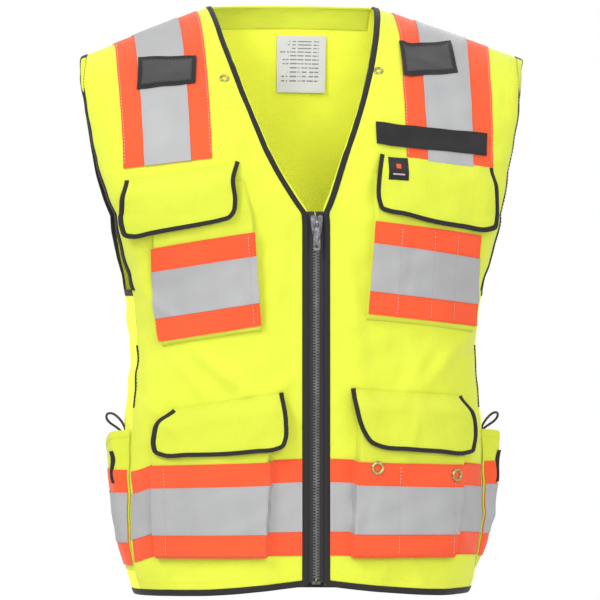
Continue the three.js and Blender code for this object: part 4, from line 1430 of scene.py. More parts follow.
@dataclass
class FrontCloth:
    """One front of the vest from hem to shoulder, with its bound edges and seams."""

    side: Side
    rows: int = 190
    columns: int = 66
    yoke_level: float = 450.0
    yoke_step: float = 0.5

    def build(self) -> None:
        """Builds the front's cloth, edgings and stitching."""
        hang = front_hang(self.side)
        name = self.side.value
        cloth = self.cloth()
        Maker.finished(cloth, hang, "lime", [f"front_panel_{name}", f"yoke_{name}"])
        hem, neck, arm = self.hem(), self.neck(), self.arm()
        Maker.finished(hem, Hang(f"front_{name}"), "black", [f"front_binding_{name}"])
        Maker.finished(neck, hang, "black", [f"neck_binding_{name}"])
        Maker.finished(arm, hang, "black", [f"front_arm_binding_{name}"])
        gusset = self.gusset()
        bend = Hang("back", f"front_{name}", (0.0, -0.020, 0.0), (0.0, -0.042, 0.0))
        Maker.finished(gusset, bend, "lime")
        level = np.linspace(196.0, 262.0, 34)
        edge, inner = np.full(34, FORM.seam - 0.1), np.full(34, FORM.seam - 1.5)
        slit = Edging(4.0, 1.0).along(f"slit_edging_{name}", Run(edge, level), Run(inner, level), self.side)
        Maker.finished(slit, Hang(f"front_{name}"), "black")
        Maker.finished(self.stitches(), hang, "lime")
        Maker.finished(self.edge_stitches(), hang, "black")

    def cloth(self) -> Piece:
        """The front's lime cloth, with the yoke lapped over it at the seam."""
        share = np.linspace(0, 1, self.columns)[None, :]
        rise = np.linspace(0, FORM.crest - 0.2, self.rows)[:, None]
        start, stop = FORM.neck_edge(rise), FORM.arm_edge(rise)
        angle = start + (stop - start) * share
        level = rise + FORM.hem(angle) * (1 - rise / FORM.crest)
        lap = self.yoke_step * smooth((level - self.yoke_level + 1.5) / 3)
        angle = self.side.turn(angle)
        return Maker.shell(f"front_cloth_{self.side.value}", angle, level, 0.0, CLOTH + lap, Finish.LIME)

    def hem(self) -> Piece:
        """Binding along the front's hem."""
        start = float(FORM.neck_edge(np.array(0.0)))
        angle = np.linspace(start, FORM.seam, 110)
        low = FORM.hem(angle)
        edge, inner = Run(angle, low), Run(angle, low + EDGING)
        return Edging().along(f"hem_edging_{self.side.value}", edge, inner, self.side)

    def neck(self) -> Piece:
        """Binding up the zip's edge and round the V neck to the shoulder."""
        level = np.linspace(FORM.hem_rise + 1, FORM.crest, 200)
        angle = FORM.neck_edge(level)
        inner = FORM.inset(angle, level, EDGING, 1.0)
        edge, drawn_in = Run(angle, level), Run(inner, level)
        return Edging(proud=0.95).along(f"neck_edging_{self.side.value}", edge, drawn_in, self.side)

    def arm(self) -> Piece:
        """Binding up the front of the armhole."""
        level = np.linspace(FORM.armpit, FORM.crest, 110)
        angle = FORM.arm_edge(level)
        inner = FORM.inset(angle, level, EDGING + 2.5, -1.0)
        return Edging(proud=1.25).along(f"arm_edging_{self.side.value}", Run(angle, level), Run(inner, level),
                                        self.side)

    def gusset(self) -> Piece:
        """Narrow strip inside the side seam that keeps it shut when the front swings."""
        level = np.linspace(1.0, FORM.armpit - 1.0, 90)[:, None]
        angle = self.side.turn(np.linspace(FORM.seam - 7.0, FORM.seam + 6.0, 22)[None, :])
        return Maker.shell(f"seam_gusset_{self.side.value}", angle, level, -1.3, -0.45, Finish.LIME_TRIM)

    def stitches(self) -> Piece:
        """Seam stitches at the yoke and the row above the hem."""
        rows = []
        for drop in (3.0, 6.2):
            level = np.full(90, self.yoke_level + drop)
            start, stop = FORM.neck_edge(level[:1])[0] + 2.2, FORM.arm_edge(level[:1])[0] - 2.6
            rows.append(stitch_line(Run(np.linspace(start, stop, 90), level), self.side, CLOTH + 0.62))
        angle = np.linspace(float(FORM.neck_edge(np.array(20.0))) + 3, FORM.seam - 1, 90)
        rows.append(stitch_line(Run(angle, FORM.hem(angle) + 13), self.side, CLOTH + 0.1))
        seam = np.linspace(10, FORM.armpit - 6, 80)
        rows.append(stitch_line(Run(np.full(80, FORM.seam - 1.6), seam), self.side, CLOTH + 0.1))
        return STITCH.make(f"seam_stitches_{self.side.value}", rows, Finish.LIME_THREAD)

    def edge_stitches(self) -> Piece:
        """The stitches that hold the bindings."""
        over = CLOTH + 1.15
        level = np.linspace(FORM.hem_rise + 8, FORM.crest - 2, 160)
        neck = FORM.inset(FORM.neck_edge(level), level, EDGING - 1.2, 1.0)
        rows = [stitch_line(Run(neck, level), self.side, over)]
        level = np.linspace(FORM.armpit + 2, FORM.crest - 2, 100)
        arm = FORM.inset(FORM.arm_edge(level), level, EDGING + 1.3, -1.0)
        rows.append(stitch_line(Run(arm, level), self.side, over + 0.3))
        return STITCH.make(f"edging_stitches_{self.side.value}", rows, Finish.DARK_THREAD)


@dataclass
class ShoulderTape:
    """Contrast tape with a silver centre, from the yoke over the shoulder and down the back."""

    side: Side
    half: float = 46.0
    back_x: float = 112.0
    back_foot: float = 147.0

    def build(self) -> None:
        """Builds the front and back runs of both tapes."""
        name = self.side.value
        for part, slot, finish, inner, base in (
                ("shoulder_tape", "orange", Finish.ORANGE, 0.0, CLOTH + 0.85),
                ("shoulder_silver", "silver", Finish.SILVER, 22.0, CLOTH + 1.85)):
            front = self.front(f"{part}_{name}_front", inner, base, finish)
            Maker.finished(front, front_hang(self.side), slot, [f"{part}_{name}"])
            back = self.back(f"{part}_{name}_back", inner, base - 0.5, finish)
            Maker.finished(back, Hang("back"), slot)
        Maker.finished(self.stitches(), front_hang(self.side), "silver")

    def reach(self, level: Array, inner: float) -> tuple[Array, Array]:
        """Angles of the tape's two edges up the front."""
        arc = np.clip((level - 450.0) / (FORM.crest - 450.0), 0, 1)
        middle = 148 + 4.0 * arc
        half = self.half - inner + 1.5 * arc
        width = self._width(level)
        sway = -FORM.sway(np.full_like(level, 0.65), level) * self.side.sign
        low, high = middle + sway * 0.35 - half, middle + sway * 0.35 + half
        return FORM.angle_of(low / width), FORM.angle_of(np.minimum(high / width, 0.985))

    def _width(self, level: Array) -> Array:
        """Half width of the form at a level over the shoulder."""
        arc = np.clip((level - FORM.chest) / FORM.arc_span, 0, 1)
        wide = 1 - (1 - arc) ** FORM.spread
        return FORM.width_at(np.minimum(level, FORM.chest)) * (1 - wide) + FORM.shoulder_half_width * wide

    def front(self, name: str, inner: float, base: float, finish: Finish) -> Piece:
        """The run from the yoke seam up to the shoulder line."""
        level = np.linspace(447.0, FORM.crest, 64)
        low, high = self.reach(level, inner)
        share = np.linspace(0, 1, 30)[None, :]
        angle = self.side.turn(low[:, None] + (high - low)[:, None] * share)
        return Maker.shell(name, angle, level[:, None], base, base + 0.7, finish)

    def back(self, name: str, inner: float, base: float, finish: Finish) -> Piece:
        """The run from the shoulder line down the back to the waist tape."""
        level = np.linspace(self.back_foot, FORM.crest, 120)
        arc = np.clip((level - FORM.chest) / FORM.arc_span, 0, 1) ** 2
        middle = self.back_x + (152 - self.back_x) * arc
        half = self.half - inner + 1.5 * arc
        width = self._width(level)
        low = 180 - FORM.angle_of((middle - half) / width)
        high = 180 - FORM.angle_of(np.minimum((middle + half) / width, 0.985))
        share = np.linspace(0, 1, 30)[None, :]
        angle = self.side.turn(low[:, None] + (high - low)[:, None] * share)
        return Maker.shell(name, angle, level[:, None], base, base + 0.7, finish)

    def stitches(self) -> Piece:
        """Pale rows along the silver's edges and orange rows along the tape's."""
        rows = []
        level = np.linspace(450.0, FORM.crest - 2, 70)
        for inner in (23.6, 1.6):
            low, high = self.reach(level, inner)
            out = CLOTH + (2.65 if inner > 10 else 1.65)
            rows += [stitch_line(Run(angle, level), self.side, out) for angle in (low, high)]
        return STITCH.make(f"shoulder_stitches_{self.side.value}", rows, Finish.PALE_THREAD)


@dataclass
class Flap:
    """Bound pocket flap whose outline runs from its top inner corner round to its top outer one."""

    name: str
    front: str
    rim: Corners
    lift: float
    flare: float = 2.5
    edging: float = 4.0
    columns: int = 96
    rows: int = 30

    @property
    def hang(self) -> Hang:
        """Hang from the front towards the flap's own body, with its start and end about the sewn edge; the
        piece's transform is baked in.
        """
        first, last = np.array(self.rim[0]), np.array(self.rim[-1])
        middle, along = (first + last) / 2, (last - first) / np.linalg.norm(last - first)
        down = np.array([along[1], -along[0]]) * (1 if along[0] > 0 else -1)
        start, end = middle - down * 2.0, middle + down * 16.0
        return Hang(self.front, self.name, (start[0] * MM, 0, (start[1] - SHOULDER_HEIGHT) * MM),
                    (end[0] * MM, 0, (end[1] - SHOULDER_HEIGHT) * MM))

    def outline(self, count: int, inset: float = 0.0) -> Array:
        """Places (across, height) along the rim, moved in from the edge by a distance."""
        line = curve_through(self.rim, count)
        if inset:
            slope = unit(np.gradient(line, axis=0))
            inward = np.stack([-slope[:, 1], slope[:, 0]], 1)
            centre = line.mean(axis=0)
            if np.sum((centre - line) * inward) < 0:
                inward = -inward
            line = line + inward * inset
        return line

    def out(self, x: Array, height: Array) -> Array:
        """How far the flap's inner face stands off the cloth."""
        first, last = np.array(self.rim[0]), np.array(self.rim[-1])
        share = np.clip((x - first[0]) / (last[0] - first[0]), 0, 1)
        drop = first[1] + (last[1] - first[1]) * share - height
        low = np.clip(drop / 60, 0, 1)
        ripple = 0.7 * np.sin(x / 13.0) * low + 0.5 * np.sin(x / 7.0 + 1.0) * low * low
        return 1.9 + self.lift * smooth(drop / 20) + self.flare * low ** 2 + ripple

    def place(self, line: Array, extra: float) -> tuple[Array, Array]:
        """Points and outward directions along a line on the flap."""
        angle, level = FORM.at(line[..., 0], line[..., 1])
        out = self.out(line[..., 0], line[..., 1]) + extra
        return FORM.place(angle, level, out), FORM.normal(angle, level)

    def build(self) -> None:
        """Builds the flap, its binding and its stitching."""
        rim = self.outline(self.columns)
        share = np.linspace(0, 1, self.columns)
        top = rim[0] + (rim[-1] - rim[0]) * share[:, None]
        down = np.linspace(0, 1, self.rows)[:, None, None]
        line = top[None] * (1 - down) + rim[None] * down
        angle, level = FORM.at(line[..., 0], line[..., 1])
        out = self.out(line[..., 0], line[..., 1])
        cloth = Maker.shell(f"{self.name}_cloth", angle, level, out, out + 1.3, Finish.LIME_TRIM)
        _, length, area = Maker.cuts[cloth.name]
        Maker.cuts[cloth.name] = (float(np.ptp(FORM.girth(angle))) * MM, length, area)
        Maker.finished(cloth, self.hang, "lime", [self.name])
        edge, normal = self.place(self.outline(150), 0.2)
        inner, _ = self.place(self.outline(150, self.edging), 0.2)
        binding = Edging(width=self.edging, proud=0.7).make(f"{self.name}_edging", edge, inner, normal)
        Maker.finished(binding, self.hang, "black", [self.name.replace("flap_", "flap_binding_")])
        hold = self.place(self.outline(150, self.edging - 1.1)[4:-4], 2.3)
        dark = STITCH.make(f"{self.name}_edging_stitches", [hold], Finish.DARK_THREAD)
        Maker.finished(dark, self.hang, "black")
        pale = self.place(self.outline(150, self.edging + 2.6)[8:-8], 1.45)
        across = np.linspace(0.03, 0.97, 60)[:, None]
        bar = np.array(self.rim[0]) * (1 - across) + np.array(self.rim[-1]) * across - (0, 3.2)
        thread = STITCH.make(f"{self.name}_stitches", [pale, self.place(bar, 1.45)], Finish.LIME_THREAD)
        Maker.finished(thread, self.hang, "lime")


@dataclass
class PatchPocket:
    """Lime patch pocket under a flap."""

    form: PocketForm
    name: str
    node: str
    body: str

    def build(self) -> None:
        """Builds the pocket's cloth and the stitches round it."""
        rise = np.linspace(0, 1, 60)[:, None]
        share = np.unique(np.concatenate([np.linspace(0, 0.05, 7), np.linspace(0.05, 0.95, 50),
                                          np.linspace(0.95, 1, 7)]))[None, :]
        form = self.form
        level = form.floor[0] + (form.tops[0] - form.floor[0]) * rise
        inner, outer = form.edges(level)
        angle = inner + (outer - inner) * share
        bottom, top = form.ends(angle)
        level = bottom + (top - bottom) * rise
        angle = form.side.turn(angle)
        lift = form.proud * form.mask(angle, level)
        piece = Maker.shell(self.name, angle, level, CLOTH + 0.15 + lift, CLOTH + 0.95 + lift,
                            Finish.LIME_TRIM)
        Maker.finished(piece, Hang(self.body), "lime", [self.node])


@dataclass
class TapedBands:
    """Contrast and silver bands across the chest pockets and round the waist."""

    base: float = CLOTH + 0.3
    silver_base: float = CLOTH + 1.25
    tape_thick: float = 0.7
    silver_thick: float = 0.5
    zip_gap: float = 14.6
    seam_reach: float = 184.2
    pocket_jog: float = 2.4

    def build(self) -> None:
        """Builds every band with its stitching."""
        for side in Side:
            self.chest(side)
            self.waist(side)
        self.back()

    def pair(self, side: Side, part: str, tape: Corners, silver: Corners, uprights: Sequence[float],
             jog: float = 0.0, droop: float = 0.0) -> None:
        """A contrast strip with its silver strip and threads.

        Args:
            side: The side it is on.
            part: "chest" or "waist".
            tape: Corners of the contrast strip.
            silver: Corners of the silver strip.
            uprights: Shares of its length at which it is stitched through.
            jog: Drop where it crosses a pocket.
            droop: Drop towards its outer end.
        """
        name, hang = side.value, Hang(f"front_{side.value}")
        under = Strip(f"{part}_contrast_{name}", tape, self.base, self.tape_thick, Finish.ORANGE, True, jog,
                      droop)
        over = Strip(f"{part}_reflector_{name}", silver, self.silver_base, self.silver_thick, Finish.SILVER,
                     True, jog, droop)
        Maker.finished(under.build(), hang, "orange", [f"{part}_tape_{name}"])
        Maker.finished(over.build(), hang, "silver", [f"{part}_silver_{name}"])
        rows = over.seams(1.2, ("top", "bottom")) + [under.upright(share) for share in uprights]
        pale = STITCH.make(f"{part}_reflector_stitches_{name}", rows, Finish.PALE_THREAD)
        Maker.finished(pale, hang, "silver")
        warm = STITCH.make(f"{part}_contrast_stitches_{name}", under.seams(1.5), Finish.ORANGE_THREAD)
        Maker.finished(warm, hang, "orange")

    def chest(self, side: Side) -> None:
        """The bands on one chest pocket."""
        if side is Side.RIGHT:
            tape = ((-63.6, 380.3), (-165.7, 365.5), (-156.6, 266.0), (-56.2, 283.0))
            silver = ((-61.3, 355.5), (-163.6, 341.0), (-159.0, 290.2), (-58.2, 306.4))
        else:
            tape = ((61.2, 392.0), (173.3, 379.8), (168.7, 282.7), (53.0, 295.0))
            silver = ((59.2, 369.1), (172.2, 356.4), (170.0, 305.9), (54.8, 318.9))
        uprights = (0.07,) if side is Side.RIGHT else (0.257, 0.568, 0.78)
        self.pair(side, "chest", tape, silver, uprights)

    def waist(self, side: Side) -> None:
        """The bands across one front at the waist, from zip to side seam."""
        near, far = side.sign * self.zip_gap, side.sign * self.seam_reach
        tape = ((near, 144.4), (far, 138.0), (far - side.sign * 3, 42.0), (near, 43.5))
        silver = ((near, 120.0), (far, 114.2), (far - side.sign * 1.4, 66.0), (near, 68.4))
        droop = 9.0 if side is Side.RIGHT else 2.0
        uprights = (0.80,) if side is Side.RIGHT else (0.42, 0.76)
        self.pair(side, "waist", tape, silver, uprights, self.pocket_jog, droop)

    @staticmethod
    def hip_droop(angle: Array) -> Array:
        """How far the band drops where it crosses a hip pocket."""
        fold = folded(angle)
        deep = np.where(angle <= 180, 4.0, 12.0)
        return 3.0 + (deep - 3.0) * smooth((122 - fold) / 34)

    def back(self) -> None:
        """The bands round the back, over the hip pockets."""
        angle = np.linspace(FORM.seam + 0.4, 360 - FORM.seam - 0.4, 420)[None, :]
        for name, node, slot, low, high, base, thick, finish in (
                ("back_waist_contrast", "waist_tape_back", "orange", 43, 143, self.base, self.tape_thick,
                 Finish.ORANGE),
                ("back_waist_reflector", "waist_silver_back", "silver", 67, 119, self.silver_base,
                 self.silver_thick, Finish.SILVER)):
            level = np.linspace(low, high, 30)[:, None] * np.ones_like(angle)
            level = level - self.hip_droop(angle)
            lift = tape_lift(angle, level)
            piece = Maker.shell(name, angle, level, lift + base, lift + base + thick, finish)
            Maker.finished(piece, Hang("back"), slot, [node])
        rows = []
        for height in (68.4, 117.6):
            line, level = angle[0], np.full(angle.shape[1], height)
            level = level - self.hip_droop(line)
            rows.append((FORM.place(line, level, tape_lift(line, level) + self.silver_base + 0.6),
                         FORM.normal(line, level)))
        thread = STITCH.make("back_reflector_stitches", rows, Finish.PALE_THREAD)
        Maker.finished(thread, Hang("back"), "silver")


@dataclass
class HipPocket:
    """Gusseted pocket standing off the hip, with a bound mouth."""

    side: Side
    mouth_hem: float = 7.0
    piping_low: float = 117.0
    piping_high: float = 150.0

    def build(self) -> None:
        """Builds the pocket's cloth and the binding round its mouth."""
        name = self.side.value
        angle = np.linspace(HIP.front - 0.2, HIP.back + 0.2, 70)[None, :]
        level = np.linspace(HIP.bottom, HIP.top, 60)[:, None] * np.ones_like(angle)
        share = (angle - HIP.front) / (HIP.back - HIP.front)
        mouth = 6.0 - 9.0 * np.clip(share * 2.4, 0, 1) - 4.0 * np.sin(np.pi * np.clip(share, 0, 1)) ** 2
        level = level + mouth * np.clip((level - HIP.bottom) / (HIP.top - HIP.bottom), 0, 1) ** 3
        lift = HIP.mask(angle, level)
        turned = self.side.turn(angle)
        piece = Maker.shell(f"hip_pocket_{name}", turned, level, lift + CLOTH + 0.1, lift + CLOTH + 0.9,
                            Finish.LIME_TRIM)
        Maker.finished(piece, Hang("back"), "lime", [f"side_pocket_{name}"])
        self.mouth(angle[0], level[-1])

    def mouth(self, angle: Array, level: Array) -> None:
        """The turned hem round the pocket's mouth and the black piping down its front."""
        name = self.side.value
        edge, normal = self._line(angle, level)
        inner, _ = self._line(angle, level - self.mouth_hem)
        hem = Edging(self.mouth_hem, 0.35).make(f"hip_mouth_{name}", edge, inner, normal, Finish.LIME_TRIM)
        Maker.finished(hem, Hang("back"), "lime")
        down = np.linspace(self.piping_low, self.piping_high, 16)
        sway = 1.1 * np.sin(np.linspace(0, 1, 16) * 2 * np.pi)
        edge, normal = self._line(80.2 + sway * 0.4, down, 2.2)
        inner, _ = self._line(81.0 + sway * 0.4, down, 2.2)
        piping = Edging(width=2.6, proud=0.9).make(f"hip_piping_{name}", edge, inner, normal)
        Maker.finished(piping, Hang("back"), "black")

    def _line(self, angle: Array, level: Array, extra: float = 0.1) -> Row:
        """Points and outward directions of a line on the pocket."""
        turned = self.side.turn(angle)
        out = HIP.mask(angle, level) + CLOTH + extra
        return FORM.place(turned, level, out), FORM.normal(turned, level)


@dataclass
class RoundEyelet:
    """Rolled ring with a rounded face, set flat on the cloth."""

    name: str
    x: float
    height: float
    bore: float
    rim: float
    base: float
    hang: Hang
    node: str
    around: int = 48
    section: int = 14

    def build(self) -> None:
        """Builds the ring."""
        angle, level = FORM.at(np.array(self.x), np.array(self.height))
        lift = float(tape_lift(angle, level)) if self.height < 300 else 0.0
        centre = FORM.place(angle, level, self.base + lift)
        out = FORM.normal(angle, level)
        side = np.cross((0, 0, 1.0), out)
        side /= np.linalg.norm(side)
        up = np.cross(out, side)
        turn = np.linspace(0, 2 * np.pi, self.around, endpoint=False)
        middle, half = (self.bore + self.rim) / 2, (self.rim - self.bore) / 2
        roll = np.linspace(0, 2 * np.pi, self.section, endpoint=False)
        reach = middle + half * np.cos(roll)
        rise = half * 0.8 * np.sin(roll)
        spin = side[None] * np.cos(turn)[:, None] + up[None] * np.sin(turn)[:, None]
        points = centre + (spin[:, None] * reach[None, :, None] + out * rise[None, :, None]) * MM
        faces = Maker.tube(points, closed=True)
        piece = Maker.mesh(self.name, points, faces, Finish.BRASS, points[..., [0, 2]])
        Maker.finished(piece, self.hang, "brass", [self.node])


@dataclass
class ShoulderTrims:
    """Mic tabs on both shoulders, the name strip on the left and the small neck eyelets."""

    def build(self) -> None:
        """Builds the trims."""
        tabs = {
            Side.RIGHT: ((-117.7, 564.1), (-177.5, 561.3), (-181.0, 527.3), (-120.8, 534.3)),
            Side.LEFT: ((96.0, 577.2), (155.0, 581.0), (157.5, 547.0), (98.3, 543.7)),
        }
        for side, corners in tabs.items():
            name = side.value
            tab = Strip(f"mic_tab_cloth_{name}", corners, CLOTH + 2.6, 1.2, Finish.LOOP, False)
            Maker.finished(tab.build(), front_hang(side), "charcoal", [f"mic_tab_{name}"])
            held = np.array(corners, float)
            drawn_in = held + (held.mean(axis=0) - held) * (0.15, 0.24)
            panel = Strip(f"mic_tab_panel_{name}", tuple(map(tuple, drawn_in)), CLOTH + 3.85, 0.5,
                          Finish.PATCH, False)
            Maker.finished(panel.build(), front_hang(side), "charcoal")
            rows = tab.seams(2.0) + panel.seams(0.8)
            thread = STITCH.make(f"mic_tab_stitches_{name}", rows, Finish.DARK_THREAD)
            Maker.finished(thread, front_hang(side), "charcoal")
        strip = Strip("name_strip_cloth", ((65.0, 493.4), (184.4, 483.6), (183.2, 460.6), (64.6, 470.6)),
                      CLOTH + 2.6, 1.4, Finish.LOOP, False)
        Maker.finished(strip.build(), front_hang(Side.LEFT), "charcoal", ["name_strip"])
        thread = STITCH.make("name_strip_stitches", strip.seams(1.6), Finish.DARK_THREAD)
        Maker.finished(thread, front_hang(Side.LEFT), "charcoal")
        for side, x, height in ((Side.RIGHT, -91.0, 541.0), (Side.LEFT, 72.6, 549.5)):
            RoundEyelet(f"neck_ring_{side.value}", x, height, 2.5, 5.2, CLOTH + 0.9, front_hang(side),
                        f"neck_eyelet_{side.value}").build()


@dataclass
class WovenTab:
    """Small dark tab on the left chest flap, with a plain woven bar and dot."""

    corners: Corners = ((76.2, 457.6), (97.2, 456.6), (95.6, 432.2), (74.6, 433.2))

    def build(self, flap: Flap) -> None:
        """Builds the tab and its woven marks on a flap."""
        u, v = np.linspace(0, 1, 16)[None, :, None], np.linspace(0, 1, 18)[:, None, None]
        self._sheet("woven_tab", between(self.corners, u, v), flap, 1.4, Finish.LOOP, ["woven_label"])
        for name, low, high, left, right in (("woven_tab_bar", 0.74, 0.80, 0.2, 0.8),
                                             ("woven_tab_mark", 0.30, 0.52, 0.38, 0.62)):
            u = np.linspace(left, right, 8)[None, :, None]
            v = np.linspace(low, high, 6)[:, None, None]
            finish = Finish.ORANGE_THREAD if name.endswith("mark") else Finish.PALE_THREAD
            self._sheet(name, between(self.corners, u, v), flap, 2.05, finish)

    @staticmethod
    def _sheet(name: str, line: Array, flap: Flap, base: float, finish: Finish,
               nodes: Sequence[str] = ()) -> None:
        """One small sheet lying on the flap."""
        angle, level = FORM.at(line[..., 0], line[..., 1])
        out = flap.out(line[..., 0], line[..., 1])
        piece = Maker.shell(name, angle, level, out + base, out + base + 0.6, finish)
        Maker.finished(piece, flap.hang, "black", nodes)


CHEST_FLAPS = {
    Side.RIGHT: ((-79.6, 451.5), (-84.3, 433.3), (-82.3, 412.0), (-84.0, 400.5), (-88.8, 394.5), (-98, 391.4),
                 (-115, 388.0), (-139.2, 384.2), (-165, 380.4), (-181.0, 378.3), (-188.6, 380.5),
                 (-192.0, 388.0), (-195.0, 411.9), (-195.0, 434.5)),
    Side.LEFT: ((68.6, 460.5), (63.5, 435.4), (63.6, 411.0), (66.3, 403.8), (73.5, 400.8), (89.3, 398.0),
                (121.2, 390.5), (151.9, 386.5), (177.0, 385.2), (184.3, 388.2), (187.4, 396.5),
                (189.6, 420.3), (190.2, 448.0)),
}
LOWER_FLAPS = {
    Side.RIGHT: ((-34.7, 213.5), (-30.2, 182.8), (-30.9, 164.0), (-34.0, 156.8), (-42.0, 153.0),
                 (-60.9, 150.9), (-92.7, 147.8), (-126.6, 146.6), (-150.5, 146.3), (-157.2, 149.6),
                 (-159.4, 157.0),
                 (-158.8, 168.2), (-155.8, 182.7), (-144.3, 195.4)),
    Side.LEFT: ((36.2, 217.5), (38.3, 197.1), (46.6, 170.5), (53.5, 160.5), (63.5, 155.8), (92.7, 152.4),
                (125.0, 149.6), (153.5, 147.4), (161.6, 149.8), (164.6, 157.5), (165.6, 180.7),
                (156.7, 209.0)),
}


@dataclass
class Pockets:
    """All four patch pockets with flaps, and both hip pockets."""

    def build(self) -> None:
        """Builds the pockets and the trims on them."""
        for side in Side:
            name = side.value
            front = f"front_{name}"
            for forms, part in ((CHEST_POCKETS, "chest_pocket"), (LOWER_POCKETS, "lower_pocket")):
                PatchPocket(forms[side], f"{part}_cloth_{name}", f"{part}_{name}", front).build()
            chest = Flap(f"chest_flap_{name}", front, CHEST_FLAPS[side], 6.6)
            chest.build()
            Flap(f"lower_flap_{name}", front, LOWER_FLAPS[side], 9.6).build()
            if side is Side.LEFT:
                WovenTab().build(chest)
            HipPocket(side).build()
        for node, x, height in (("pocket_eyelet_inner", 61.8, 134.5), ("pocket_eyelet_outer", 145.0, 126.0)):
            RoundEyelet(f"{node}_ring", x, height, 3.8, 7.2, CLOTH + 1.6, Hang("front_left"), node).build()


